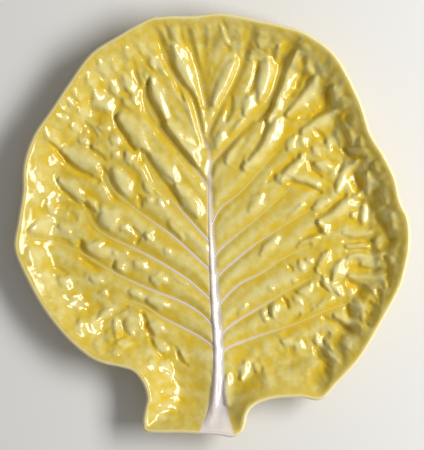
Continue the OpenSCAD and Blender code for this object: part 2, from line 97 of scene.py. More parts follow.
# %% The outline as a closed curve
outline_shares = [
    [0.011, -0.494], [-0.075, -0.489],
    [-0.163, -0.487], [-0.176, -0.464], [-0.171, -0.431], [-0.166, -0.405], [-0.177, -0.372],
    [-0.201, -0.345], [-0.236, -0.334], [-0.276, -0.326], [-0.317, -0.307], [-0.372, -0.262],
    [-0.425, -0.200], [-0.465, -0.135], [-0.500, -0.057], [-0.492, 0.007], [-0.480, 0.077],
    [-0.477, 0.143], [-0.452, 0.211], [-0.407, 0.273], [-0.362, 0.336], [-0.307, 0.404],
    [-0.236, 0.447], [-0.191, 0.472], [-0.156, 0.488], [-0.131, 0.491], [-0.101, 0.493],
    [-0.083, 0.493], [-0.065, 0.493], [-0.045, 0.494],
    [-0.025, 0.496], [-0.002, 0.499],
    [0.023, 0.500], [0.060, 0.495], [0.116, 0.484], [0.178, 0.471], [0.241, 0.451],
    [0.314, 0.397], [0.374, 0.292], [0.400, 0.218], [0.435, 0.163], [0.462, 0.110],
    [0.475, 0.058], [0.495, 0.016], [0.500, -0.031], [0.495, -0.078], [0.480, -0.135],
    [0.462, -0.172], [0.437, -0.214], [0.377, -0.309], [0.317, -0.372], [0.274, -0.411],
    [0.221, -0.406], [0.163, -0.408], [0.123, -0.417], [0.100, -0.430], [0.089, -0.445],
    [0.084, -0.466], [0.075, -0.487], [0.050, -0.499],
]
steps_per_point = 12


def blend_four(a, b, c, d, f):
    """The Catmull-Rom point at share f of the way from b to c."""
    return b + f / 2 * ((c - a) + f * ((2 * a - 5 * b + 4 * c - d) + f * (3 * (b - c) + d - a)))


def round_curve(points, steps):
    """A closed curve through the points, with a number of steps from each to the next."""
    p = np.array(points, float)[:, None]
    f = (np.arange(steps) / steps)[None, :, None]
    line = blend_four(np.roll(p, 1, 0), p, np.roll(p, -1, 0), np.roll(p, -2, 0), f)
    return line.reshape(-1, 2)


def open_curve(points, count):
    """The same for an open line, with evenly spaced places along it."""
    p = np.array(points, float)
    p = np.vstack([2 * p[0] - p[1], p, 2 * p[-1] - p[-2]])
    u = np.linspace(0, len(points) - 1, steps_per_point * len(points))
    i = np.minimum(u.astype(int), len(points) - 2)
    line = blend_four(p[i], p[i + 1], p[i + 2], p[i + 3], (u - i)[:, None])
    return evenly(line, count, False)


def evenly(line, count, closed):
    """Places at even distances along a line of points."""
    path = np.vstack([line, line[:1]]) if closed else line
    gone = np.concatenate([[0], np.cumsum(np.linalg.norm(np.diff(path, axis=0), axis=1))])
    at = np.linspace(0, gone[-1], count, endpoint=not closed)
    return np.column_stack([np.interp(at, gone, path[:, k]) for k in range(2)])


raw_edge = round_curve(outline_shares, steps_per_point)
raw_low, raw_high = raw_edge.min(0), raw_edge.max(0)
box_low, box_high = np.array(blade_low.xy), np.array(blade_high.xy)
edge_line = box_low + (raw_edge - raw_low) / (raw_high - raw_low) * (box_high - box_low)
print("outline points:", len(edge_line))

# %% [markdown]
# ## Two tools for soft shapes
# Most of the shaping below uses two functions. A smooth step goes from 0 to 1 without a
# corner. Random hills give the unevenness that a hand-made mould has. They come from a fixed
# seed, so the plate comes out the same each time the script runs.

# %% Smooth steps and random hills
hill_grid = 64
hill_gain = 1.4


def smooth(start, end, x):
    """0 before the start, 1 past the end, and a soft step between. The end may come first."""
    f = np.clip((x - start) / (end - start), 0, 1)
    return f * f * (3 - 2 * f)


def hills(places, size, seed):
    """Smooth random hills and hollows, -1 to 1, about one a size across. The seed fixes them."""
    slopes = np.random.default_rng(seed).normal(size=(hill_grid, hill_grid, 2))
    slopes /= np.linalg.norm(slopes, axis=2)[..., None]
    at = places / size + hill_grid // 2
    cell = np.floor(at).astype(int)
    f = at - cell
    ease = f * f * f * (f * (6 * f - 15) + 10)
    corner = {}
    for i in (0, 1):
        for j in (0, 1):
            slope = slopes[(cell[:, 0] + i) % hill_grid, (cell[:, 1] + j) % hill_grid]
            corner[i, j] = ((f - (i, j)) * slope).sum(1)
    low = corner[0, 0] + (corner[1, 0] - corner[0, 0]) * ease[:, 0]
    high = corner[0, 1] + (corner[1, 1] - corner[0, 1]) * ease[:, 0]
    return hill_gain * (low + (high - low) * ease[:, 1])


print("hills along the edge reach", hills(edge_line, 10 * mm, 1).max().round(2))

# %% [markdown]
# ## How far a place is from a line
# The dish, the rib and the veins all ask how far a place is from a line. Along the leaf's
# edge the plain distance has a fold wherever two parts of the edge are equally near, and a
# glossy glaze shows that fold as a hard line. So there the distance is eased: every short
# step of the edge has its say, and the near ones by far the most.

# %% Plain and eased distances
nearness = 6


def line_distance(places, line):
    """Distance of each place from an open line, and how far along the line that is, 0 to 1."""
    best = np.full(len(places), np.inf)
    along = np.zeros(len(places))
    for k, (a, b) in enumerate(zip(line[:-1], line[1:])):
        v = b - a
        f = np.clip(((places - a) @ v) / (v @ v), 0, 1)
        d = np.hypot(*(places - a - f[:, None] * v).T)
        closer = d < best
        best[closer] = d[closer]
        along[closer] = (k + f[closer]) / (len(line) - 1)
    return best, along


def edge_distance(places):
    """Distance of each place from the leaf's edge, eased.

    Each short step of the edge counts with its distance to a high power. Along a straight
    edge the sum gives the plain distance, which the factor below puts right.
    """
    step = np.linalg.norm(np.roll(edge_line, -1, 0) - edge_line, axis=1)
    factor = math.sqrt(math.pi) * math.gamma((nearness - 1) / 2) / math.gamma(nearness / 2)
    total = np.zeros(len(places))
    for point, length in zip(edge_line, step):
        total += length * ((places - point) ** 2).sum(1) ** (-nearness / 2)
    return (total / factor) ** (-1 / (nearness - 1))


print("from the middle to the edge in mm:", (edge_distance(np.zeros((1, 2))) / mm).round(1))

# %% [markdown]
# ## The dish
# Before any relief, the plate is a shallow dish, and how high it stands at a place depends on
# how far that place is from the edge. The wall is straight, with a quick bend at its foot
# that wanders in and out a little. Around the stem, and on the underside, it is one soft
# curve instead. Both are written as a rise from 0 on the floor to 1 at the rim.

# %% Height of the plain dish
# The rim's waves: how many go round, their share of the height, and a start in degrees.
rim_waves = ((3, 0.6, 50), (7, 0.4, 20))
roll_place, roll_half, roll_height = 5 * mm, 4.4 * mm, 0.35 * mm
stem_end_px = (206, 428)
stem_reach = 105 * mm
stem_slope_width = 23 * mm
knee_place, knee_half = 0.36, 0.07
knee_wander, knee_size, knee_seed = 5 * mm, 17 * mm, 10
knee_band = (8 * mm, 20 * mm)
soft_rise_curl = 0.6


def up_the_slope(from_edge, width):
    """Share of the way up the wall, 0 at its foot and 1 at the lip."""
    return np.clip(1 - np.maximum(0, from_edge - lip_width) / width, 0, 1)


def soft_rise(from_edge, width=slope_width):
    """The rise as one soft curve, as on the underside and around the stem."""
    x = up_the_slope(from_edge, width)
    return x * x * (1 + soft_rise_curl - soft_rise_curl * x)


def straight_rise(from_edge):
    """The rise as a straight wall with a quick bend at its foot."""
    x = up_the_slope(from_edge, slope_width)
    low, here, high = (np.hypot(v - knee_place, knee_half) + v - knee_place for v in (0, x, 1))
    return (here - low) / (high - low)


def rim_level(places):
    """Height of the rim in the direction of each place."""
    turn = np.arctan2(places[:, 1], places[:, 0])
    wave = sum(part * np.sin(count * turn + math.radians(start)) for count, part, start in rim_waves)
    return rim_height - lip_rise_share * wall + rim_wave * wave


def top_rise(places, from_edge):
    """The rise of the top: the straight wall, with the soft one around the stem's end."""
    to_stem = np.linalg.norm(places - on_leaf(stem_end_px), axis=1)
    near_stem = np.clip(1 - (to_stem / stem_reach) ** 2, 0, 1) ** 2
    by_stem = soft_rise(from_edge, slope_width + (stem_slope_width - slope_width) * near_stem)
    wander = knee_wander * hills(places, knee_size, knee_seed) * smooth(*knee_band, from_edge)
    return straight_rise(from_edge + wander) * (1 - near_stem) + by_stem * near_stem


def dish_level(places, rise):
    """Height of the dish where it has risen by a share of the way from floor to rim."""
    return floor_height + (rim_level(places) - floor_height) * rise


def rim_roll(from_edge):
    """The wall swells a little just inside the lip, as on a pressed rim."""
    share = np.clip((from_edge - roll_place) / roll_half, -1, 1)
    return roll_height * (1 - share * share) ** 2


print("rim in mm:", round(float(rim_level(edge_line).max()) * 1000, 2))

# %% [markdown]
# ## Folds, blisters and creases
# A savoy leaf is puffed up between its veins. Each mark below is one fold, blister or
# crease, given as: half its width in pixels, its height in millimetres (a crease has
# a height below zero), and the pixels that its middle line runs through. Placing them one by
# one takes longer than a noise texture, but noise has no leaf in it.

# %% Marks left of the rib, upper half
left_upper_marks = [
    # the large folds that lie against the rib
    (8, 2.5, 176, 48, 184, 70, 190, 92, 197, 116, 203, 138),
    (7, 2.7, 153, 78, 158, 96, 167, 115), (8.5, 3.9, 170, 122, 182, 140, 197, 162),
    (8, 2.8, 150, 152, 162, 162, 176, 177), (7, 2.7, 178, 184, 188, 198, 199, 214),
    (10, 3.0, 122, 116, 135, 130, 149, 148),
    (4, -1.8, 163, 50, 171, 66, 177, 82, 182, 98),
    (6, -3.0, 147, 82, 144, 94, 148, 106, 155, 119, 162, 132, 178, 150),
    (5, -2.2, 151, 163, 158, 180, 168, 192, 182, 208),
    (4, -2.0, 115, 114, 121, 131, 132, 149), (6, 1.8, 132, 158, 148, 178, 166, 200),
    # the tip
    (6, 1.3, 173, 24, 176, 36), (5, 1.3, 188, 24, 190, 38), (5, 1.6, 206, 24, 208, 44),
    (3, -1.3, 163, 22, 168, 38), (3, -1.2, 157, 31, 161, 43), (3, -1.2, 179, 26, 182, 39, 190, 48),
    (3, -1.2, 200, 23, 202, 40), (5, 1.6, 152, 57, 153, 67), (4, 1.2, 144, 74, 145, 76),
    (6, 1.4, 160, 62, 164, 70),
    # blisters towards the rim
    (6, 2.0, 127, 50, 129, 55), (8, 2.4, 100, 62, 104, 70), (8, 2.2, 90, 77, 93, 84),
    (10, 3.0, 96, 93, 107, 106), (7, 2.4, 80, 110, 89, 114), (4, 1.4, 57, 117, 65, 119),
    (4, 1.2, 62, 108, 66, 110), (4, 1.6, 97, 126, 109, 128), (6, 2.0, 125, 75, 131, 88),
    (4, 1.5, 134, 94, 134, 101), (3, -1.6, 134, 61, 137, 82), (6, 2.0, 114, 60, 117, 68),
    (6, 1.8, 112, 82, 116, 92), (5, 1.6, 76, 92, 79, 97), (5, 1.5, 70, 100, 74, 103),
    (5, 1.6, 140, 44, 142, 50), (5, 1.6, 124, 100, 128, 106),
    # long low folds below them
    (7, 2.2, 47, 132, 58, 143), (11, 3.0, 66, 150, 82, 158, 97, 167),
    (4, -2.0, 49, 142, 56, 154, 68, 163, 80, 173, 97, 180), (5, 1.6, 80, 139, 85, 141),
    (6, 1.8, 94, 146, 100, 150), (5, 1.6, 112, 151, 116, 155), (5, 1.6, 70, 127, 78, 130),
    (3, -1.4, 88, 146, 104, 158), (3, -1.4, 84, 122, 96, 136), (6, 1.8, 112, 138, 118, 142),
]
print("marks left of the rib, upper half:", len(left_upper_marks))

# %% Marks left of the rib, lower half
left_lower_marks = [
    (5, 0.9, 34, 174, 40, 181), (4, 0.7, 44, 186, 47, 196), (6, 1.0, 50, 200, 56, 206),
    (6, 2.4, 60, 180, 72, 188, 84, 197), (3, -1.6, 58, 188, 68, 195, 80, 205),
    (4, -1.6, 58, 204, 80, 207), (4.5, 1.8, 88, 196, 96, 211), (12, 2.8, 104, 210, 113, 224),
    (4, -2.2, 83, 203, 87, 216, 92, 227, 100, 233, 112, 240, 125, 244),
    (12, 3.4, 117, 172, 124, 192), (4, -2.2, 102, 166, 104, 180, 110, 192, 120, 201, 128, 205),
    (6, 2.2, 127, 154, 130, 161), (3, -1.8, 143, 148, 142, 161), (3, -1.5, 137, 196, 140, 207),
    (6, 2.0, 122, 228, 126, 230), (3, -1.5, 131, 228, 137, 235, 136, 244),
    (12, 3.0, 90, 247, 100, 252), (4, -2.2, 80, 241, 77, 249, 83, 258, 92, 265, 104, 269),
    (9, 2.8, 34, 229, 50, 220), (5, -1.4, 70, 213, 73, 218), (10, 2.4, 30, 250, 34, 260),
    (3, -1.6, 58, 240, 70, 246), (7, 2.4, 118, 266, 123, 270), (3, -1.6, 113, 261, 112, 273),
    (4, 1.2, 112, 252, 114, 254), (6, 1.8, 60, 226, 68, 234), (5, 1.6, 48, 205, 54, 212),
    (5, 1.8, 147, 182, 151, 192), (5, 1.6, 147, 200, 151, 202), (4, 1.5, 158, 200, 160, 204),
    (7, 2.9, 147, 234, 151, 237), (5, 1.3, 167, 250, 171, 253), (5, 1.8, 72, 296, 80, 298),
    (4, 1.5, 100, 294, 106, 296), (9, 2.0, 153, 279, 163, 281), (6, 1.8, 60, 280, 68, 284),
    (6, 1.1, 42, 274, 52, 284), (3, -1.4, 52, 268, 64, 274), (6, 1.8, 92, 278, 100, 282),
    (6, 1.8, 136, 262, 143, 268), (4, -1.4, 128, 252, 148, 258), (6, 1.6, 170, 222, 182, 238),
    (5, 1.4, 172, 270, 188, 284), (6, 1.8, 132, 292, 140, 298),
    # around the lower lobe and the stem
    (10, 2.6, 152, 301, 163, 304), (4, -1.8, 138, 307, 152, 311), (9, 1.9, 152, 326, 162, 328),
    (4, -1.7, 142, 316, 145, 326, 148, 336), (8, 1.3, 157, 345, 164, 349),
    (8, 1.3, 164, 363, 169, 371), (3, -1.1, 175, 350, 180, 358, 186, 366),
    (10, 1.0, 163, 415, 174, 405),
    (4, -1.2, 149, 341, 158, 354, 164, 364), (4, 1.4, 182, 353, 186, 362),
    (6, 2.0, 71, 304, 86, 305), (5, 2.2, 98, 320, 109, 310), (5, 1.8, 91, 318, 97, 331),
    (6, 2.0, 80, 321, 84, 331), (5, 1.6, 66, 331, 73, 341), (5, 1.8, 98, 341, 100, 352),
    (5, 1.6, 107, 334, 110, 343), (7, 1.6, 130, 320, 132, 332), (5, 2.0, 115, 321, 117, 337),
    (6, 2.0, 119, 344, 129, 344), (3, -1.4, 112, 314, 126, 307), (4, 1.3, 114, 353, 118, 354),
    (3, -1.4, 122, 322, 123, 338), (3, -1.2, 88, 312, 91, 322), (5, 1.4, 56, 312, 62, 320),
    (4, 1.4, 160, 407, 176, 408), (3, -1.0, 160, 413, 178, 413), (5, 1.0, 164, 392, 172, 388),
    (4, 1.0, 150, 362, 156, 368),
]
print("marks left of the rib, lower half:", len(left_lower_marks))

# %% Marks right of the rib, upper half
right_upper_marks = [
    (8, 2.5, 237, 60, 227, 80, 216, 102), (5.5, 2.0, 243, 43, 244, 54), (3, -1.4, 237, 50, 241, 62),
    (4.5, 1.6, 262, 33, 262, 45), (4.5, 1.6, 279, 46, 281, 58), (3, -1.3, 271, 48, 275, 60),
    (5, 1.4, 224, 27, 227, 42), (3, -1.3, 218, 25, 215, 36, 208, 47), (3, -1.2, 222, 18, 230, 38),
    (3, -1.2, 246, 25, 243, 36), (4, -1.0, 226, 46, 228, 49), (4.5, 1.4, 252, 50, 252, 58),
    (8, 2.7, 270, 60, 267, 78, 262, 98), (4, -2.0, 259, 62, 256, 78, 250, 90),
    (5, -3.0, 299, 36, 288, 43, 282, 58, 279, 74, 275, 92, 269, 108, 258, 119),
    (7, 2.4, 251, 96, 246, 112), (4, -1.8, 232, 96, 229, 110, 228, 120),
    (6.5, 2.8, 297, 53, 289, 70, 284, 88, 278, 106, 271, 118),
    (9, 3.4, 280, 120, 274, 134, 262, 150, 246, 166),
    (4, -2.0, 266, 121, 264, 135, 256, 148, 250, 158),
    (7, 2.2, 243, 122, 236, 140, 228, 160), (6, 1.8, 222, 132, 219, 148),
    (4, -1.8, 303, 57, 303, 69, 297, 82, 290, 94), (7, 3.0, 317, 78, 312, 91, 301, 101, 290, 113),
    (4, -2.0, 330, 84, 330, 96, 322, 108, 314, 116), (6, 2.2, 335, 88, 338, 98),
    (5, 1.8, 343, 98, 344, 104), (6.5, 2.6, 336, 111, 322, 121, 304, 131),
    (3, -1.2, 325, 55, 329, 61), (3, -1.2, 316, 42, 320, 48), (5, 1.6, 310, 60, 312, 72),
    (5, 1.6, 320, 64, 325, 74), (5, 1.8, 304, 137, 307, 144), (5, 1.6, 301, 153, 305, 157),
    (4, 1.8, 338, 132, 342, 145), (4, 1.8, 350, 129, 353, 142), (4, 1.6, 361, 137, 363, 145),
    (3, -1.8, 344, 148, 354, 155, 364, 157), (4, 1.8, 350, 148, 366, 151),
    (4, 1.6, 328, 140, 331, 148), (3, -1.4, 318, 128, 324, 142), (5, 1.6, 316, 148, 322, 154),
    (4, -1.6, 300, 118, 316, 110), (5, 1.8, 296, 136, 290, 148), (3, -1.4, 346, 112, 350, 124),
    (5, 1.5, 300, 45, 306, 48),
]
print("marks right of the rib, upper half:", len(right_upper_marks))

# %% Marks right of the rib, lower half
right_lower_marks = [
    (6, 2.4, 305, 154, 294, 168, 284, 180), (4, -1.6, 291, 159, 278, 171, 268, 180),
    (6, 2.2, 320, 162, 330, 166), (3, -1.6, 311, 160, 314, 170, 322, 176),
    (3.5, -2.0, 290, 183, 305, 185, 321, 191), (5, 1.8, 292, 175, 306, 178, 320, 184),
    (7, -2.2, 357, 175, 359, 192), (4.5, 2.2, 370, 172, 371, 192),
    (6, 2.4, 357, 161, 346, 174, 340, 190), (3, -1.4, 345, 160, 338, 172), (4, 1.6, 376, 162, 378, 168),
    (4.5, 2.0, 366, 205, 366, 222), (6, 2.8, 361, 194, 350, 203, 338, 212, 322, 223),
    (3, -1.8, 346, 194, 334, 205, 318, 214), (4, 1.6, 354, 212, 357, 216),
    (5, 2.0, 395, 214, 395, 226),
    (4, 1.6, 389, 233, 391, 238), (4, 1.8, 345, 233, 370, 233), (4, 1.8, 349, 246, 371, 247),
    (4, 1.8, 351, 257, 385, 255), (4, 1.6, 364, 264, 384, 263), (4, 1.8, 351, 277, 386, 276),
    (3, -1.4, 345, 240, 372, 240), (3, -1.4, 350, 251, 380, 251), (3, -1.4, 352, 268, 384, 269),
    (4, 1.6, 308, 259, 312, 263), (4, 1.6, 317, 268, 321, 272), (6, 2.4, 329, 254, 320, 269),
    (7, 2.8, 336, 278, 344, 262), (5, 2.0, 335, 284, 343, 294), (3, -1.4, 289, 266, 292, 271),
    (3, -1.4, 320, 283, 323, 288), (4, 1.4, 295, 281, 299, 284),
    (4, -2.2, 350, 284, 364, 289, 376, 300),
    (3, -1.8, 386, 258, 388, 286), (5, 1.6, 280, 175, 284, 180), (4, 1.4, 270, 288, 274, 292),
    (4, 1.4, 283, 293, 287, 297), (6, 2.2, 318, 236, 300, 248), (4, -1.6, 322, 228, 304, 238),
    (6, 2.0, 304, 205, 290, 222), (6, 2.0, 278, 238, 262, 252), (5, 1.6, 330, 200, 316, 208),
    (4, 1.6, 384, 196, 388, 204), (5, 1.6, 378, 240, 381, 246), (6, 2.0, 300, 292, 312, 286),
    (6, 1.8, 262, 196, 252, 210), (6, 1.8, 284, 192, 272, 206), (5, 1.6, 332, 300, 322, 306),
    # the tall round blister and the hollows beside it
    (6.5, 3.0, 275, 302, 275, 315), (3, -2.0, 283, 295, 288, 307), (3, -1.4, 268, 306, 269, 316),
    (4, 1.6, 262, 306, 268, 321), (3, -1.6, 288, 325, 300, 314), (4.5, 2.2, 309, 317, 331, 308),
    (3, -2.2, 316, 350, 318, 358, 328, 366), (3.5, -2.2, 325, 319, 338, 324, 352, 331),
    (7, 2.4, 348, 339, 350, 347), (5, 2.0, 328, 341, 334, 346), (3, -1.6, 325, 337, 331, 334),
    (5, 1.8, 354, 306, 364, 309), (4, -1.8, 349, 306, 350, 316), (5, -2.0, 368, 300, 370, 326),
    (4, -1.8, 377, 290, 380, 302), (4.5, 2.0, 338, 317, 352, 322, 364, 328),
    (4, 1.2, 369, 321, 371, 323),
    (6, 1.6, 284, 343, 291, 345), (6, 1.6, 296, 345, 304, 347), (4, 1.6, 318, 337, 319, 344),
    (4, 1.8, 330, 352, 338, 360), (6, 1.4, 275, 333, 283, 331), (10, -1.4, 319, 366, 322, 388),
    # beside the foot of the rib
    (7, 2.9, 248, 364, 243, 378), (4.5, 1.7, 256, 366, 259, 372), (5, 2.1, 229, 376, 227, 402),
    # small ones left over
    (5, 1.2, 265, 369, 268, 376), (4, 1.4, 296, 300, 302, 304),
    (5, 1.4, 246, 306, 240, 318),
    (6, 2.2, 322, 221, 327, 231), (5, 1.8, 302, 261, 305, 271), (5, 1.8, 325, 276, 332, 290),
    # the dark hollows of the wall
    (8, -2.2, 361, 293, 372, 308, 371, 325), (6, -1.8, 379, 214, 391, 240),
    (7, -1.8, 320, 350, 329, 378),
    (5, -1.6, 384, 262, 389, 282), (5, -1.6, 352, 196, 362, 200), (5, 1.8, 362, 304, 368, 310),
]
leaf_marks = left_upper_marks + left_lower_marks + right_upper_marks + right_lower_marks
print("folds, blisters and creases:", len(leaf_marks))

# %% [markdown]
# ## Rib and vein lines
# The rib runs from the stem's end to the tip, and the side veins leave it in two fans. The
# lines are curves through a few points each. A vein's last number says how much of it still
# shows white glaze before the yellow runs over it. The last veins of each fan, from
# `first_crease` on, are hardly raised: they show as creases of the leaf.

# %% The rib and the veins as lines
rib_px = [(216.5, 435), (218.7, 365), (214.6, 294.5), (210.7, 224), (209, 154), (205, 84), (202, 14)]
left_veins_px = [
    ([(217, 351), (200, 338), (180, 327.5), (160, 317), (143, 306), (122, 300)], 0.75),
    ([(215, 330), (200, 314), (180, 302), (150, 290), (115, 274), (78, 252), (50, 241),
      (26, 238)], 0.60),
    ([(213, 303), (190, 282), (170, 268.5), (148, 256), (128, 246), (108, 237), (92, 225),
      (82, 203)], 0.70),
    ([(212, 273), (190, 252), (170, 234.5), (150, 220), (130, 205), (112, 188), (102, 168)], 0.65),
    ([(211, 244), (190, 220.5), (170, 198.5), (155, 180), (146, 160), (142, 148)], 0.50),
    ([(208, 188), (203, 179), (180, 151), (160, 126), (147, 104), (144, 93), (148, 82)], 0.25),
    ([(206, 146), (202, 134), (192, 98), (178, 80), (163, 54), (158, 34)], 0.20),
    ([(205, 104), (202, 88), (199, 72), (193, 54), (186, 24)], 0.10),
]
right_veins_px = [
    ([(219, 361), (226, 350), (240, 343.5), (270, 333), (300, 323), (330, 310), (352, 303)], 0.50),
    ([(218, 340), (226, 330), (240, 320), (260, 308), (290, 290), (312, 278)], 0.65),
    ([(216, 310), (224, 299), (240, 284), (260, 274), (290, 255), (316, 244)], 0.60),
    ([(214, 284), (220, 274), (240, 256.5), (260, 241), (290, 222), (314, 207)], 0.60),
    ([(213, 260), (220, 249), (240, 232), (270, 207), (290, 188)], 0.45),
    ([(211, 225), (220, 208), (240, 192), (260, 170), (280, 147)], 0.35),
    ([(209, 172), (212, 162), (235, 137), (262, 108), (275, 88), (287, 56), (298, 36)], 0.20),
    ([(207, 134), (215, 115), (236, 76), (255, 18)], 0.10),
]
first_crease = {"left": 5, "right": 6}
rib_steps, vein_steps = 320, 90
rib_line = open_curve(on_leaf(rib_px), rib_steps)
vein_lines = {
    side: [(open_curve(on_leaf(line), vein_steps), white) for line, white in veins]
    for side, veins in (("left", left_veins_px), ("right", right_veins_px))
}
# Distances are measured to lines with fewer points, which is quicker and as good.
rough_rib_skip, fine_rib_skip = 8, 4
rough_vein_skip, fine_vein_skip = 6, 3
rough_rib, fine_rib = rib_line[::rough_rib_skip], rib_line[::fine_rib_skip]
rough_veins = [line[::rough_vein_skip] for lines in vein_lines.values() for line, _ in lines]
rough_creases = [
    line[::rough_vein_skip] for side, lines in vein_lines.items()
    for line, _ in lines[first_crease[side]:]
]
print("side veins:", {side: len(lines) for side, lines in vein_lines.items()})

# %% [markdown]
# ## Folds from the marks
# Each mark becomes a rounded ridge along its line, wider in the middle than at its ends.
# Ridges that meet are joined by a soft maximum: a plain sum would pile them up, and a plain
# maximum would leave a sharp seam. Then the folds are tipped over to the left. That gives
# them a short dark side and a long easy one, on which a lamp makes one broad highlight.

# %% Folds and creases
soft_power = 2.2
mark_spread, fullness, end_taper = 1.40, 1.75, 0.45
right_gain, right_gain_band = 0.12, (30 * mm, 90 * mm)
wander_reach, wander_size, wander_seeds = 2.0 * mm, 15 * mm, (1, 2)
fine_wander_share, fine_wander_size, fine_wander_seeds = 0.25, wander_size / 2.6, (3, 4)
fold_lean = 0.7


def bump(share, power=2):
    """A round bump, 1 in its middle and 0 from a share of 1 outwards."""
    return np.clip(1 - share * share, 0, 1) ** power


def wandered(places):
    """Shifts places a little this way and that, so that no fold is a straight bar."""
    shift = np.column_stack([hills(places, wander_size, seed) for seed in wander_seeds])
    fine = np.column_stack([hills(places, fine_wander_size, seed) for seed in fine_wander_seeds])
    return places + wander_reach * (shift + fine_wander_share * fine)


def unpack(mark):
    """Half width and height in metres, and the middle line of one mark."""
    line = on_leaf(np.reshape(mark[2:], (-1, 2)))
    gain = 1 + right_gain * smooth(*right_gain_band, line[:, 0].mean())
    return mark[0] * metres_per_px * mark_spread, mark[1] * mm * gain, line


mark_list = [unpack(mark) for mark in leaf_marks]


def upright_folds(places):
    """Height of all the placed folds, and the depth of the placed creases."""
    places = wandered(places)
    up, down = np.zeros(len(places)), np.zeros(len(places))
    for width, height, line in mark_list:
        near = np.all((places > line.min(0) - width) & (places < line.max(0) + width), axis=1)
        if near.any():
            distance, share = line_distance(places[near], line)
            narrow = 1 - end_taper * (2 * share - 1) ** 2
            swell = abs(height) * bump(distance / (width * narrow), fullness)
            kind = up if height > 0 else down
            kind[near] += swell ** soft_power
    return up ** (1 / soft_power), down ** (1 / soft_power)


def leaned_folds(places):
    """The same folds tipped to the left, the more the higher they stand."""
    up = upright_folds(places)[0]
    return upright_folds(places + np.column_stack([fold_lean * up, 0 * up]))


print("tallest mark in mm:", round(max(height for _, height, _ in mark_list) / mm, 2))

# %% [markdown]
# ## Puckers between the folds
# Between the folds the leaf is never flat. Near the rim it is crumpled into small mounds that
# meet in creases, which is what the size of random hills looks like. Closer to the rib it
# only waves a little, and its waves are drawn out along the side veins, as the leaf grew.

# %% Grain and puckers
crumple_height, crumple_size, crumple_seed = 1.5 * mm, 13 * mm, 5
fine_crumple_share, fine_crumple_size, fine_crumple_seed = 0.45, crumple_size / 2.1, 6
crumple_middle = 0.35
calm_height, calm_size, calm_seed = 0.75 * mm, 9 * mm, 7
grain_rise, grain_spread, grain_stretch = 2.10, 0.0047, 3.2
halves_apart_px = 400


def along_grain(places):
    """Places as seen along the side veins: drawn out along them, and the two halves apart."""
    across, down = (places / (metres_per_px, -metres_per_px) + photo_middle_px).T
    out = np.abs(across - np.interp(down, *np.array(rib_px)[::-1, ::-1].T))
    root = (down + grain_rise * out) / (1 + grain_spread * out)
    apart = np.where(across > photo_middle_px[0], halves_apart_px, 0)
    return np.column_stack([out / grain_stretch + apart, root]) * metres_per_px


def crumple(places):
    """Mounds that meet in creases."""
    places = wandered(places)
    mounds = np.abs(hills(places, crumple_size, crumple_seed))
    mounds += fine_crumple_share * np.abs(hills(places, fine_crumple_size, fine_crumple_seed))
    return crumple_height * (mounds - crumple_middle)


print("puckers at the middle in mm:", (crumple(np.zeros((1, 2))) / mm).round(2))

# %% [markdown]
# ## The relief as one function
# The blade, the rib and the veins must all lie on the same surface, so the relief is one
# function of the place in plan. It adds the swell under the lower rib, the puffed panels
# and the valleys of the veins to the folds and puckers, and fades out before the lip.

# %% All of the relief
valley_half, valley_depth = 5.0 * mm, 0.5 * mm
puff_height, puff_reach = 1.2 * mm, 2.2 * valley_half
folds_start, folds_full = 0.1 * valley_half, 1.1 * valley_half
crease_half, crease_depth = 5 * mm, 1.3 * mm
calmed_by_fold, calming_heights = 0.95, (0.1 * mm, 1.2 * mm)
least_crumple = 0.15
rim_crumple_band, rib_calm_band = (78 * mm, 30 * mm), (10 * mm, 40 * mm)
left_calm, left_calm_band = 0.75, (-95 * mm, -125 * mm)
right_unrest, right_unrest_band = 0.5, (70 * mm, 120 * mm)
rim_band = (2.0 * mm, 12 * mm)
rib_swell, swell_reach = 4.5 * mm, 15 * mm
swell_end_shares, swell_rim_width = (0.42, 0.10), 14 * mm


def nearest_of(places, lines):
    """Distance to the nearest of several lines."""
    return np.min([line_distance(places, line)[0] for line in lines], axis=0)


def relief(places, from_edge):
    """Height of the relief above the plain dish."""
    to_rib, along = line_distance(places, rough_rib)
    to_vein = np.minimum(to_rib, nearest_of(places, rough_veins))
    folds, creases = leaned_folds(places)
    plain = 1 - calmed_by_fold * smooth(*calming_heights, folds)
    restless = smooth(*rim_crumple_band, from_edge) * smooth(*rib_calm_band, to_rib)
    restless *= (1 - left_calm * smooth(*left_calm_band, places[:, 0])
                 + right_unrest * smooth(*right_unrest_band, places[:, 0]))
    between = calm_height * hills(along_grain(places), calm_size, calm_seed)
    between += crumple(places) * (least_crumple + (1 - least_crumple) * restless)
    leaf = (folds - creases + between * plain) * smooth(folds_start, folds_full, to_vein)
    leaf += puff_height * smooth(0, puff_reach, to_vein) - valley_depth * bump(to_vein / valley_half)
    leaf -= crease_depth * bump(np.minimum(1, nearest_of(places, rough_creases) / crease_half))
    low_rib = rib_swell * np.exp(-(to_rib / swell_reach) ** 2) * smooth(*swell_end_shares, along)
    return leaf * smooth(*rim_band, from_edge) + low_rib * smooth(0, swell_rim_width, from_edge)


def blade_level(places):
    """Height of the blade's top at any place in plan."""
    from_edge = edge_distance(places)
    dish = dish_level(places, top_rise(places, from_edge))
    return dish + rim_roll(from_edge) + relief(places, from_edge)


low_rib_place = open_curve(on_leaf(rib_px), 5)[1:2]
print("height of the blade under the lower rib in mm:", (blade_level(low_rib_place) / mm).round(2))

# %% [markdown]
# ## The blade's grid
# A leaf isn't round or square, but a square grid can be pulled into it like a cloth: its
# border goes on the outline at even steps, and each inner point settles where a smooth net
# would hang. That keeps the squares nearly even, so the relief is equally sharp everywhere.
# A coarse net settles first and is then halved again and again, which is far quicker.

# %% The border of the net
net_size = 232
first_corner = 0.20


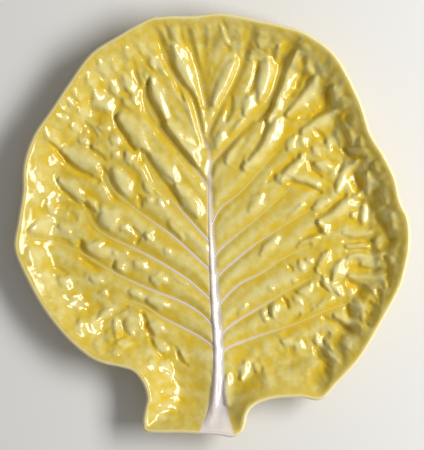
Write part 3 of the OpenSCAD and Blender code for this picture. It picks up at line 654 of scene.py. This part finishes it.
def ring_points(inset, count):
    """Even places round the leaf, moved in from the outline by a distance."""
    line = evenly(edge_line, count, True)
    line = np.roll(line, int(first_corner * count), axis=0)
    ahead, behind = np.roll(line, -1, 0), np.roll(line, 1, 0)
    tangent = (ahead - behind) / np.linalg.norm(ahead - behind, axis=1)[:, None]
    return line + inset * np.column_stack([tangent[:, 1], -tangent[:, 0]])


def border_index(n):
    """Grid places (column, row) round the border of an n by n net, clockwise."""
    steps = np.arange(n)
    return np.concatenate([
        np.column_stack([steps * 0, steps]), np.column_stack([steps, steps * 0 + n]),
        np.column_stack([steps * 0 + n, n - steps]), np.column_stack([n - steps, steps * 0]),
    ])


print("points round the border:", len(ring_points(lip_width, 4 * net_size)))

# %% How a net settles
def settle(net, rounds):
    """Pulls a net's inner points to the places of a smooth elliptic net."""
    for _ in range(rounds):
        right, left = net[2:, 1:-1], net[:-2, 1:-1]
        up, down = net[1:-1, 2:], net[1:-1, :-2]
        du, dv = (right - left) / 2, (up - down) / 2
        a, b, c = (dv * dv).sum(-1), (du * dv).sum(-1), (du * du).sum(-1)
        twist = (net[2:, 2:] - net[:-2, 2:] - net[2:, :-2] + net[:-2, :-2]) / 4
        target = a[..., None] * (right + left) + c[..., None] * (up + down) - 2 * b[..., None] * twist
        net[1:-1, 1:-1] = target / (2 * (a + c))[..., None]
    return net


def stretch_net(coarse, n):
    """Fills an n by n net from a coarser one."""
    at = np.linspace(0, len(coarse) - 1, n + 1)
    i = np.minimum(at.astype(int), len(coarse) - 2)
    f = (at - i)[:, None, None]
    rows = coarse[i] * (1 - f) + coarse[i + 1] * f
    f = f.transpose(1, 0, 2)
    return rows[:, i] * (1 - f) + rows[:, i + 1] * f


def patch(net):
    """Fills a net's inside straight across from its four sides."""
    f = np.linspace(0, 1, len(net))
    u, v = f[:, None, None], f[None, :, None]
    sides = (1 - u) * net[:1] + u * net[-1:] + (1 - v) * net[:, :1] + v * net[:, -1:]
    corners = ((1 - u) * (1 - v) * net[0, 0] + u * (1 - v) * net[-1, 0]
               + (1 - u) * v * net[0, -1] + u * v * net[-1, -1])
    net[1:-1, 1:-1] = (sides - corners)[1:-1, 1:-1]
    return net


unit_square = np.array([[(0.0, 0.0), (0.0, 1.0)], [(1.0, 0.0), (1.0, 1.0)]])
trial_net = settle(patch(stretch_net(unit_square, 4)), 10)
print("the middle of a unit square's net settles at", trial_net[2, 2])

# %% The net over the leaf
# Each stage: how many times coarser than the full net, and how many rounds it settles.
coarse_to_fine = ((8, 200), (4, 400), (2, 400), (1, 400))
evening_rounds = 120


def leaf_net(n, inset):
    """An n by n net over the leaf, from the coarsest net to the full one."""
    net = np.zeros((2, 2, 2))
    for coarseness, rounds in coarse_to_fine:
        size = n // coarseness
        net = stretch_net(net, size)
        at = border_index(size)
        net[at[:, 0], at[:, 1]] = ring_points(inset, 4 * size)
        net = settle(patch(net) if coarseness == coarse_to_fine[0][0] else net, rounds)
    for _ in range(evening_rounds):
        net[1:-1, 1:-1] = (net[2:, 1:-1] + net[:-2, 1:-1] + net[1:-1, 2:] + net[1:-1, :-2]) / 4
    return net


net = leaf_net(net_size, lip_width)
sides_u, sides_v = net[1:, :-1] - net[:-1, :-1], net[:-1, 1:] - net[:-1, :-1]
areas = sides_u[..., 0] * sides_v[..., 1] - sides_u[..., 1] * sides_v[..., 0]
print("net squares turned over:", int((areas * np.sign(np.median(areas)) <= 0).sum()))
print("smallest and largest in mm2:", (np.sort(np.abs(areas).ravel())[[0, -1]] / mm ** 2).round(2))

# %% [markdown]
# ## The blade
# A grid primitive takes the places of the net. Its border edges are extruded round the lip,
# ring by ring, and a coarser grid closes the underside: the back is smooth, so it needs
# fewer squares. `bridge_loops` joins two rings even when their counts differ. The wall gets
# thicker towards the rim, as clay does when it is pressed over a mould.

# %% Helpers for grids and rings
def grid_piece(bm, columns, rows, places):
    """Adds a grid whose point (i, j) goes to places[i, j]. Returns its points in that order."""
    made = bmesh.ops.create_grid(bm, x_segments=columns, y_segments=rows, size=1)["verts"]
    order = [[None] * (rows + 1) for _ in range(columns + 1)]
    for v in made:
        i, j = round((v.co.x + 1) / 2 * columns), round((v.co.y + 1) / 2 * rows)
        order[i][j] = v
    for i in range(columns + 1):
        for j in range(rows + 1):
            order[i][j].co = places[i][j]
    return order


def extrude_ring(bm, ring, places):
    """Extrudes a closed ring of points and puts the new ring at the places given."""
    edges = [bm.edges.get((a, b)) for a, b in zip(ring, ring[1:] + ring[:1])]
    made = bmesh.ops.extrude_edge_only(bm, edges=edges)["geom"]
    twin = {tuple(g.co): g for g in made if isinstance(g, bmesh.types.BMVert)}
    new_ring = [twin[tuple(v.co)] for v in ring]
    for v, place in zip(new_ring, places):
        v.co = place
    return new_ring


trial = bmesh.new()
grid_piece(trial, 3, 2, np.zeros((4, 3, 3)))
print("points of a grid of 3 by 2 squares:", len(trial.verts))
trial.free()

# %% Helpers for finished meshes
def mesh_object(name, bm):
    """Turns a bmesh into a smooth-shaded object at the origin."""
    bmesh.ops.recalc_face_normals(bm, faces=bm.faces)
    mesh = bpy.data.meshes.new(name)
    bm.to_mesh(mesh)
    bm.free()
    mesh.shade_smooth()
    piece = bpy.data.objects.new(name, mesh)
    bpy.context.scene.collection.objects.link(piece)
    print(name, "triangles:", sum(len(f.vertices) - 2 for f in mesh.polygons))
    return piece


def with_height(plan, level):
    """Puts a height on each point of a grid in plan."""
    return np.dstack([plan, np.reshape(level, plan.shape[:2])])


# %% The blade's mesh
lip_shares = [
    (0.80, 0.09), (0.60, 0.145), (0.40, 0.12), (0.20, -0.02), (0.06, -0.22), (0.0, -0.45),
    (0.05, -0.70), (0.20, -0.92), (0.42, -1.08), (0.70, -1.20),
]
under_size = net_size // 2
top_level = blade_level(net.reshape(-1, 2))
under_net = net[::2, ::2]
under_places = under_net.reshape(-1, 2)
under_rise = soft_rise(edge_distance(under_places))
under_level = dish_level(under_places, under_rise) - wall * (1 + wall_growth * under_rise)

bm = bmesh.new()
top_points = grid_piece(bm, net_size, net_size, with_height(net, top_level))
ring = [top_points[i][j] for i, j in border_index(net_size)]
border_count = 4 * net_size
lip_level = rim_level(ring_points(lip_width, border_count))
for inset_share, height_share in lip_shares:
    plan = ring_points(inset_share * lip_width, border_count)
    level = lip_level + height_share * wall
    ring = extrude_ring(bm, ring, np.column_stack([plan, level]))
under_points = grid_piece(bm, under_size, under_size, with_height(under_net, under_level))
under_ring = [under_points[i][j] for i, j in border_index(under_size)]
loops = [bm.edges.get((a, b)) for r in (ring, under_ring) for a, b in zip(r, r[1:] + r[:1])]
bmesh.ops.bridge_loops(bm, edges=loops)
print("open edges:", sum(len(e.link_faces) != 2 for e in bm.edges))
leaf_blade = mesh_object("leaf_blade_glazed", bm)

# %% [markdown]
# ## Beads on the blade
# On the real plate the rib and veins are rounded beads of clay under a white glaze. A bevelled
# curve would be a round pipe. Here each is a narrow grid laid along its line, raised in the
# middle and let into the blade a little at its sides, so it follows every dip of the leaf.
# Extruding the whole sheet downwards closes it.

# %% A bead along a line
bead_sink = 0.08 * mm
bead_roundness = 1.25
bead_depth = 0.9 * mm


def sideways(line):
    """Unit steps to the left of a line of points, as seen along it."""
    along = np.gradient(line, axis=0)
    along /= np.linalg.norm(along, axis=1)[:, None]
    return np.column_stack([-along[:, 1], along[:, 0]])


def add_bead(bm, line, half_width, height, columns, lean=0.0):
    """Lays a closed bead on the blade. Half width and height are lists along the line.

    Lean moves the bead's crest to the left of the line, as a share of the half width.
    """
    across = np.linspace(-1, 1, columns + 1)
    plan = line[:, None] + (sideways(line) * half_width[:, None])[:, None] * across[None, :, None]
    leaning = across - lean / (1 - lean * lean) * (1 - across ** 2)
    crown = height[:, None] * (1 - leaning[None] ** 2) ** bead_roundness - bead_sink
    level = blade_level(plan.reshape(-1, 2)).reshape(plan.shape[:2]) + crown
    before = set(bm.faces)
    grid_piece(bm, len(line) - 1, columns, np.dstack([plan, level]))
    sheet = [f for f in bm.faces if f not in before]
    made = bmesh.ops.extrude_face_region(bm, geom=sheet)["geom"]
    bottom = [g for g in made if isinstance(g, bmesh.types.BMVert)]
    bmesh.ops.translate(bm, verts=bottom, vec=(0, 0, -bead_depth))
    bmesh.ops.reverse_faces(bm, faces=sheet)


print("a bead is let into the blade by", round(bead_sink / mm, 2), "mm")

# %% [markdown]
# ## The midrib
# The rib flares at the stem like a trumpet, stands highest a little above the flare, and
# dies down to a thread before the tip. Its crest leans to the left. Width and height are
# given at a few shares of its length and eased in between.

# %% The midrib
rib_foot_width = 26 * mm
rib_height = 3.8 * mm
rib_width_shares = [
    (0, 1.06), (0.012, 1.0), (0.036, 0.76), (0.06, 0.58), (0.083, 0.49), (0.107, 0.43),
    (0.155, 0.34), (0.20, 0.31), (0.32, 0.30), (0.39, 0.25), (0.44, 0.205), (0.56, 0.14),
    (0.65, 0.09), (0.72, 0.07), (0.80, 0.06), (1, 0.05),
]
rib_height_shares = [
    (0, 0), (0.018, 0), (0.03, 0.16), (0.04, 0.38), (0.06, 0.76), (0.083, 1), (0.107, 0.92),
    (0.14, 0.70), (0.20, 0.53), (0.32, 0.46), (0.40, 0.36), (0.48, 0.22), (0.56, 0.10),
    (0.62, 0.04), (0.68, 0.02), (1, 0.01),
]
rib_columns, rib_lean = 18, 0.38
rib_clear_of_edge = 0.9 * lip_width
easing_shares = (-0.01, -0.005, 0, 0.005, 0.01)


def along_rib(shares, at):
    """A value given at a few shares of the rib's length, eased so that it changes smoothly."""
    nearby = [np.interp(at + shift, *np.array(shares).T) for shift in easing_shares]
    return np.mean(nearby, axis=0)


rib_inside = edge_distance(rib_line) > rib_clear_of_edge
rib_at = np.linspace(0, 1, len(rib_line))[rib_inside]
rib_half = rib_foot_width / 2 * along_rib(rib_width_shares, rib_at)
rib_crest = rib_height * along_rib(rib_height_shares, rib_at)
bm = bmesh.new()
add_bead(bm, rib_line[rib_inside], rib_half, rib_crest, rib_columns, rib_lean)
midrib = mesh_object("midrib_glazed", bm)

# %% [markdown]
# ## The side veins
# A side vein is a thread of white glaze that stands hardly proud of its valley, and it gets
# narrower and lower on its way to the rim.

# %% The side veins
vein_root_half, vein_tip_half = 0.75 * mm, 0.45 * mm
vein_height, crease_vein_height = 0.34 * mm, 0.08 * mm
vein_sinks_by = 0.85
vein_clear_of_edge = 5 * mm
vein_columns = 6


def vein_half_width(share):
    """Half the width of a vein at a share of its length."""
    return vein_root_half + (vein_tip_half - vein_root_half) * share


side_veins = {}
for side, lines in vein_lines.items():
    bm = bmesh.new()
    for number, (line, _) in enumerate(lines):
        share = np.linspace(0, 1, len(line))
        tall = vein_height if number < first_crease[side] else crease_vein_height
        inside = edge_distance(line) > vein_clear_of_edge
        half = vein_half_width(share)
        height = tall * (1 - vein_sinks_by * share) + bead_sink
        add_bead(bm, line[inside], half[inside], height[inside], vein_columns)
    side_veins[side] = mesh_object(side + "_side_veins_glazed", bm)

# %% [markdown]
# ## The foot
# The plate stands on a turned ring under the well. A turned shape is one profile, spun. The
# profile narrows from the plate down to a flat band, and both of its sides are the same.

# %% The foot ring
foot_low, foot_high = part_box("foot_ring")
foot_centre = (foot_low + foot_high) / 2
foot_outer = (foot_high.x - foot_low.x) / 2
foot_width, foot_flat = 7 * mm, 3 * mm
foot_slope = (foot_width - foot_flat) / 2
foot_bury = 0.3 * mm
foot_side_shares = [(0.25, 0.45), (0.80, 0.10), (1, 0)]
foot_side = [(0, foot_height + foot_bury)] + [
    (in_share * foot_slope, up_share * foot_height) for in_share, up_share in foot_side_shares]
foot_profile = foot_side + [(foot_width - inset, z) for inset, z in reversed(foot_side)]
foot_steps = 160
bm = bmesh.new()
profile = [bm.verts.new((foot_outer - inset, 0, z)) for inset, z in foot_profile]
edges = [bm.edges.new(pair) for pair in zip(profile, profile[1:] + profile[:1])]
bmesh.ops.spin(bm, geom=profile + edges, cent=(0, 0, 0), axis=(0, 0, 1), angle=2 * math.pi,
               steps=foot_steps, use_merge=True)
bmesh.ops.translate(bm, verts=bm.verts, vec=(foot_centre.x, foot_centre.y, 0))
foot_ring = mesh_object("foot_ring_glazed", bm)

# %% [markdown]
# ## Where the glaze is thick, and where it is white
# A coloured glaze runs off the high places and pools in the low ones, so its depth follows
# the relief: a place is low if it lies under the average of the places around it. A little
# of the depth runs in streaks along the side veins. It is worked out once for each point of
# the blade and kept as an attribute, which the material reads. Another attribute says how
# near the white of rib and veins is, and a third marks the lip: pale glaze plus a painted highlight.

# %% Helpers for values on a mesh
def blur(field, reach):
    """A soft average over a grid, from three passes of a running mean."""
    kernel = np.ones(2 * reach + 1) / (2 * reach + 1)
    for _ in range(3):
        for axis in (0, 1):
            wide = np.pad(field, [(reach, reach) if k == axis else (0, 0) for k in (0, 1)], "edge")
            field = np.apply_along_axis(np.convolve, axis, wide, kernel, "valid")
    return field


def set_attribute(piece, name, values):
    """Keeps a number for each point of a piece, which its material can read."""
    piece.data.attributes.new(name, "FLOAT", "POINT").data.foreach_set(
        "value", np.asarray(values, np.float32))


def plan_of(piece):
    """Places in plan of a piece's points."""
    co = np.empty(len(piece.data.vertices) * 3, np.float32)
    piece.data.vertices.foreach_get("co", co)
    return co.reshape(-1, 3)[:, :2].astype(float)


blade_places = plan_of(leaf_blade)
blade_edge = edge_distance(blade_places)
print("points of the blade:", len(blade_places))

# %% Where the glaze pools
fine_share, fine_blur, fine_step = 0.55, 3, 0.55 * mm
broad_share, broad_blur, broad_step = 0.45, 9, 1.6 * mm
streaks = ((0.7, 7 * mm, 8), (0.5, 4 * mm, 9))
streak_amount = 0.9
pool_rim_band = (4 * mm, 16 * mm)
least_pool, pool_vein_width = 0.35, 6 * mm

net_places = net.reshape(-1, 2)
net_distance = edge_distance(net_places)
relief_net = relief(net_places, net_distance).reshape(net.shape[:2])
pool_net = fine_share * np.tanh((blur(relief_net, fine_blur) - relief_net) / fine_step)
pool_net += broad_share * np.tanh((blur(relief_net, broad_blur) - relief_net) / broad_step)
grain_net = sum(part * hills(along_grain(net_places), size, seed) for part, size, seed in streaks)
pool_net += streak_amount * grain_net.reshape(net.shape[:2])
pool_net = blur(pool_net, 1) * smooth(*pool_rim_band, net_distance).reshape(net.shape[:2])
top_count = (net_size + 1) ** 2
pool = np.zeros(len(blade_places))
pool[:top_count] = pool_net.T.ravel()
to_any_vein = nearest_of(blade_places, rough_veins)
pool *= least_pool + (1 - least_pool) * smooth(0, pool_vein_width, to_any_vein)
set_attribute(leaf_blade, "pool", pool)
print("glaze depth from", pool.min().round(2), "to", pool.max().round(2))

# %% Where the blade is white, and its pale lip with a painted highlight
white_bleed = 0.9 * mm
rib_white_band, vein_white_band = (white_bleed, -0.2 * mm), (0.8 * white_bleed, -0.3 * mm)
rib_fade_shares = (0.58, 0.77)
vein_fade_starts, vein_fade_ends = -0.35, 0.15
vein_whiteness = 0.75
lip_and_highlight_band = (3.6 * mm, 1.2 * mm)


def whiteness(places):
    """1 on the rib and on the veins near it, 0 where the yellow glaze is plain."""
    to_rib, along = line_distance(places, fine_rib)
    beside = to_rib - rib_foot_width / 2 * along_rib(rib_width_shares, along)
    white = smooth(*rib_white_band, beside) * (1 - smooth(*rib_fade_shares, along))
    for line, reach in vein_lines["left"] + vein_lines["right"]:
        to_vein, share = line_distance(places, line[::fine_vein_skip])
        shade = smooth(*vein_white_band, to_vein - vein_half_width(share))
        shade *= 1 - smooth(reach + vein_fade_starts, reach + vein_fade_ends, share)
        white = np.maximum(white, vein_whiteness * shade)
    return white


white = whiteness(blade_places)
first_under_point = top_count + len(lip_shares) * border_count
white[first_under_point:] = 0
set_attribute(leaf_blade, "white", white)
# The rim attribute marks the lip, where its pale thin glaze and a painted highlight go.
set_attribute(leaf_blade, "rim", smooth(*lip_and_highlight_band, blade_edge))
print("share of the blade's points near white:", (white > 0.5).mean().round(3))

# %% Where the white beads turn yellow
warm_share, warm_shares = 0.4, (0.22, 0.42)
bead_fade_starts, bead_fade_ends = -0.45, 0.15

_, rib_share = line_distance(plan_of(midrib), fine_rib)
rib_yellow = warm_share * smooth(*warm_shares, rib_share)
rib_yellow += (1 - warm_share) * smooth(*rib_fade_shares, rib_share)
set_attribute(midrib, "yellow", rib_yellow)
for side, lines in vein_lines.items():
    vein_places = plan_of(side_veins[side])
    nearest = np.full(len(vein_places), np.inf)
    yellow = np.zeros(len(vein_places))
    for line, reach in lines:
        distance, share = line_distance(vein_places, line[::fine_vein_skip])
        closer = distance < nearest
        nearest[closer] = distance[closer]
        yellow[closer] = smooth(reach + bead_fade_starts, reach + bead_fade_ends, share)[closer]
    set_attribute(side_veins[side], "yellow", yellow)
    print(side, "veins, mean share of yellow:", yellow.mean().round(2))

# %% [markdown]
# ## Glaze as shader groups
# Two effects are shared by the glazes on the plate: how deep the colour lies, which the
# yellow glaze reads, and the fine unevenness of a glass-like surface, which every glaze has.
# Each is a node group with its own inputs, so each material can set its own values. The
# groups put out masks and values only.

# %% Helpers for shader nodes
def paint(red, green, blue):
    """A colour as it is seen, 0 to 255, as the linear values that Blender works in."""
    parts = [v / 255 for v in (red, green, blue)]
    return [v / 12.92 if v <= 0.04045 else ((v + 0.055) / 1.055) ** 2.4 for v in parts] + [1.0]


def new_group(name, inputs, outputs):
    """A shader group of float sockets. Returns it with its input and output nodes."""
    group = bpy.data.node_groups.new(name, "ShaderNodeTree")
    for socket, value in inputs.items():
        made = group.interface.new_socket(name=socket, in_out="INPUT", socket_type="NodeSocketFloat")
        made.default_value = value
    for socket in outputs:
        group.interface.new_socket(name=socket, in_out="OUTPUT", socket_type="NodeSocketFloat")
    return group, group.nodes.new("NodeGroupInput"), group.nodes.new("NodeGroupOutput")


def link(tree, source, target):
    tree.links.new(source, target)


def math_node(tree, operation, *values, clamp=False):
    """A Math node fed by sockets or numbers. Returns its output socket."""
    node = tree.nodes.new("ShaderNodeMath")
    node.operation, node.use_clamp = operation, clamp
    for socket, value in zip(node.inputs, values):
        if isinstance(value, (int, float)):
            socket.default_value = value
        else:
            link(tree, value, socket)
    return node.outputs[0]


def noise_node(tree, scale, detail=2.0):
    """A noise on Object coordinates. Its scale is a socket or a number of bumps a metre."""
    where = tree.nodes.new("ShaderNodeTexCoord")
    node = tree.nodes.new("ShaderNodeTexNoise")
    link(tree, where.outputs["Object"], node.inputs["Vector"])
    if isinstance(scale, (int, float)):
        node.inputs["Scale"].default_value = scale
    else:
        link(tree, scale, node.inputs["Scale"])
    node.inputs["Detail"].default_value = detail
    return node.outputs["Fac"]


print("mid grey as a linear value:", round(paint(128, 128, 128)[0], 3))

# %% Group: depth of the coloured glaze
pool_gain, middle_depth, noise_middle = 0.42, 0.5, 0.5

depth_group, given, result = new_group(
    "glaze_depth", {"Pool": 0.0, "Mottle per metre": 165.0, "Mottle Amount": 0.5}, ["Depth"])
mottle = noise_node(depth_group, given.outputs["Mottle per metre"], detail=3.0)
centred = math_node(depth_group, "SUBTRACT", mottle, noise_middle)
uneven = math_node(depth_group, "MULTIPLY", centred, given.outputs["Mottle Amount"])
half_pool = math_node(depth_group, "MULTIPLY_ADD", given.outputs["Pool"], pool_gain, middle_depth)
depth = math_node(depth_group, "ADD", half_pool, uneven, clamp=True)
link(depth_group, depth, result.inputs["Depth"])
print("glaze depth group's inputs:", [s.name for s in given.outputs if s.name])

# %% Group: the skin of a fired glaze
clouds_per_metre = 45.0

skin_group, given, result = new_group(
    "fired_skin", {"Ripple per metre": 260.0, "Ripple": 0.6, "Speck per metre": 2600.0,
                   "Speck": 0.1, "Roughness": 0.09, "Roughness Spread": 0.05},
    ["Roughness", "Height"])
ripple = noise_node(skin_group, given.outputs["Ripple per metre"], detail=1.0)
speck = noise_node(skin_group, given.outputs["Speck per metre"], detail=0.0)
cloud = noise_node(skin_group, clouds_per_metre)
rough = math_node(skin_group, "MULTIPLY_ADD", cloud, given.outputs["Roughness Spread"],
                  given.outputs["Roughness"])
link(skin_group, rough, result.inputs["Roughness"])
speck_part = math_node(skin_group, "MULTIPLY", speck, given.outputs["Speck"])
height = math_node(skin_group, "MULTIPLY_ADD", ripple, given.outputs["Ripple"], speck_part)
link(skin_group, height, result.inputs["Height"])
print("shader groups:", [g.name for g in bpy.data.node_groups])

# %% [markdown]
# ## Materials
# The yellow glaze goes from cream on the high places over yellow to gold in the pools. The
# white glaze is warm with a lilac cast, and takes on yellow where the two ran together. The
# foot is glazed on its sides and bare where it was wiped to stand in the kiln.

# %% A material with the shared skin
glaze_ior = 1.54


def glaze_material(name, skin_values, bump_height):
    """A Principled material with the shared skin wired up. Returns its tree and shader."""
    material = bpy.data.materials.new(name)
    material.use_nodes = True
    tree = material.node_tree
    shader = tree.nodes["Principled BSDF"]
    skin = tree.nodes.new("ShaderNodeGroup")
    skin.node_tree = skin_group
    for socket, value in skin_values.items():
        skin.inputs[socket].default_value = value
    relief_node = tree.nodes.new("ShaderNodeBump")
    relief_node.inputs["Distance"].default_value = bump_height
    relief_node.inputs["Strength"].default_value = 1.0
    link(tree, skin.outputs["Height"], relief_node.inputs["Height"])
    link(tree, relief_node.outputs["Normal"], shader.inputs["Normal"])
    link(tree, skin.outputs["Roughness"], shader.inputs["Roughness"])
    shader.inputs["IOR"].default_value = glaze_ior
    return material, tree, shader


print("refractive index of the glaze:", glaze_ior)

# %% Helpers for colours
# A Mix node has sockets for every kind of value, and these are the ones for colours.
mix_colour_inputs, mix_colour_output = (6, 7), 2


def colour_ramp(tree, mask, stops):
    """Runs a mask through a few colours, each given with its place from 0 to 1."""
    ramp = tree.nodes.new("ShaderNodeValToRGB")
    ramp.color_ramp.interpolation = "B_SPLINE" if len(stops) > 3 else "EASE"
    elements = ramp.color_ramp.elements
    while len(elements) < len(stops):
        elements.new(0.5)
    for element, (at, colour) in zip(elements, stops):
        element.position, element.color = at, colour
    link(tree, mask, ramp.inputs["Fac"])
    return ramp.outputs["Color"]


def mix_colour(tree, mask, first, second):
    """Mixes two colours, each a socket or a list, by a mask socket."""
    node = tree.nodes.new("ShaderNodeMix")
    node.data_type = "RGBA"
    link(tree, mask, node.inputs["Factor"])
    for socket, value in zip([node.inputs[i] for i in mix_colour_inputs], (first, second)):
        if isinstance(value, list):
            socket.default_value = value
        else:
            link(tree, value, socket)
    return node.outputs[mix_colour_output]


def attribute(tree, name):
    """A value that is kept for each point of the piece."""
    node = tree.nodes.new("ShaderNodeAttribute")
    node.attribute_name = name
    return node.outputs["Fac"]


def depth_of(tree, pool, mottle_amount):
    """The depth of the coloured glaze, from the shared group."""
    node = tree.nodes.new("ShaderNodeGroup")
    node.node_tree = depth_group
    link(tree, pool, node.inputs["Pool"])
    node.inputs["Mottle Amount"].default_value = mottle_amount
    return node.outputs["Depth"]


print("sockets of a Mix node for colours:", mix_colour_inputs, "and", mix_colour_output)

# %% The yellow glaze
yellow_stops = [
    (0.10, paint(224, 211, 141)), (0.35, paint(217, 198, 110)), (0.50, paint(213, 190, 90)),
    (0.66, paint(212, 184, 60)), (0.88, paint(215, 177, 24)),
]
# The lip's cream is partly the pale thin glaze on the rounded lip and partly a painted highlight.
lip_cream_and_painted_highlight, vein_white = paint(238, 223, 168), paint(228, 218, 208)
mottle_amount = 0.9
fine_bump = 0.16 * mm

yellow_glaze, tree, shader = glaze_material("yellow_glaze", {"Ripple": 0.5}, fine_bump)
colour = colour_ramp(tree, depth_of(tree, attribute(tree, "pool"), mottle_amount), yellow_stops)
# The lip gets its pale glaze and a painted highlight here.
colour = mix_colour(tree, attribute(tree, "rim"), colour, lip_cream_and_painted_highlight)
colour = mix_colour(tree, attribute(tree, "white"), colour, vein_white)
link(tree, colour, shader.inputs["Base Color"])
print("nodes of the yellow glaze:", len(tree.nodes))

# %% The white glaze
lilac_white, pale_yellow = paint(216, 204, 206), paint(220, 202, 118)
tints_per_metre = 70.0

white_glaze, tree, shader = glaze_material(
    "white_glaze", {"Ripple": 0.35, "Roughness": 0.08}, fine_bump)
colour = mix_colour(tree, noise_node(tree, tints_per_metre), vein_white, lilac_white)
colour = mix_colour(tree, attribute(tree, "yellow"), colour, pale_yellow)
link(tree, colour, shader.inputs["Base Color"])
print("nodes of the white glaze:", len(tree.nodes))

# %% The foot, glazed and wiped
foot_cream, bare_clay = paint(236, 220, 152), paint(228, 218, 194)
wiped_height, wiped_wander, wiped_per_metre = 0.9 * mm, 0.6 * mm, 60.0
clay_roughness = 0.6

foot_clay, tree, shader = glaze_material(
    "foot_clay", {"Ripple": 0.5, "Speck": 0.5, "Roughness": 0.12, "Roughness Spread": 0.1},
    fine_bump)
place = tree.nodes.new("ShaderNodeTexCoord")
split = tree.nodes.new("ShaderNodeSeparateXYZ")
link(tree, place.outputs["Object"], split.inputs["Vector"])
wander = noise_node(tree, wiped_per_metre)
wiped = math_node(tree, "MULTIPLY_ADD", wander, wiped_wander, split.outputs["Z"])
bare = math_node(tree, "LESS_THAN", wiped, wiped_height)
link(tree, mix_colour(tree, bare, foot_cream, bare_clay), shader.inputs["Base Color"])
glazed_rough = shader.inputs["Roughness"].links[0].from_socket
rough = math_node(tree, "MULTIPLY_ADD", bare, clay_roughness, glazed_rough)
link(tree, rough, shader.inputs["Roughness"])
print("nodes of the foot's clay:", len(tree.nodes))

# %% Each piece, its finish and the solid it stands for
pieces = [
    (leaf_blade, yellow_glaze, "leaf_blade", "yellow_glaze"),
    (midrib, white_glaze, "midrib", "white_glaze"),
    (side_veins["left"], white_glaze, "left_side_veins", "white_glaze"),
    (side_veins["right"], white_glaze, "right_side_veins", "white_glaze"),
    (foot_ring, foot_clay, "foot_ring", "foot_clay"),
]
for piece, material, node, slot in pieces:
    piece.data.materials.append(material)
    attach(piece, "root")
    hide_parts(node)
print("pieces:", [piece.name for piece, *_ in pieces])

# %% [markdown]
# ## Floor, camera and light
# A glossy glaze shows its lamps as highlights. One broad lamp stands to the right, about half
# way up the sky, so the right sides of the folds shine and their left sides are in shade. A
# pale surrounding fills the shade. The lens is long and looks straight down, so that the
# plate keeps its outline. The picture is taller than it is wide, and then Blender's sensor
# width spans its height.

# %% Floor
floor_size, floor_colour, floor_roughness = 8.0, paint(226, 224, 220), 0.8
bm = bmesh.new()
bmesh.ops.create_grid(bm, x_segments=1, y_segments=1, size=floor_size / 2)
floor = mesh_object("floor", bm)
floor_paper = bpy.data.materials.new("floor_paper")
floor_paper.use_nodes = True
floor_shader = floor_paper.node_tree.nodes["Principled BSDF"]
floor_shader.inputs["Base Color"].default_value = floor_colour
floor_shader.inputs["Roughness"].default_value = floor_roughness
floor.data.materials.append(floor_paper)

# %% Camera
image_height_px = 450
sensor_height, lens_length = 36.0, 200.0
view_height = image_height_px * metres_per_px
camera_data = bpy.data.cameras.new("camera")
camera_data.lens, camera_data.sensor_width = lens_length, sensor_height
camera = bpy.data.objects.new("camera", camera_data)
camera.location = (0, 0, rim_height + view_height * lens_length / sensor_height)
bpy.context.scene.collection.objects.link(camera)
bpy.context.scene.camera = camera
print("camera height in m:", round(camera.location.z, 3))

# %% Lamp and surrounding
surrounding_strength = 0.27


def add_lamp(name, azimuth, elevation, distance, size, power):
    """A rectangular lamp aimed at the plate. Azimuth 0 is to the right, 90 at the tip."""
    data = bpy.data.lights.new(name, "AREA")
    data.shape, data.size, data.size_y, data.energy = "RECTANGLE", size[0], size[1], power
    lamp = bpy.data.objects.new(name, data)
    a, e = math.radians(azimuth), math.radians(elevation)
    away = Vector((math.cos(a) * math.cos(e), math.sin(a) * math.cos(e), math.sin(e)))
    lamp.location = away * distance
    lamp.rotation_mode = "QUATERNION"
    lamp.rotation_quaternion = away.to_track_quat("Z", "Y")
    bpy.context.scene.collection.objects.link(lamp)


add_lamp("key_lamp", azimuth=6, elevation=43, distance=1.5, size=(1.15, 0.5), power=25.4)
surrounding = bpy.data.worlds.new("surrounding")
surrounding.use_nodes = True
background = surrounding.node_tree.nodes["Background"]
background.inputs["Color"].default_value = (1, 1, 1, 1)
background.inputs["Strength"].default_value = surrounding_strength
bpy.context.scene.world = surrounding
bpy.context.scene.view_settings.view_transform = "Standard"
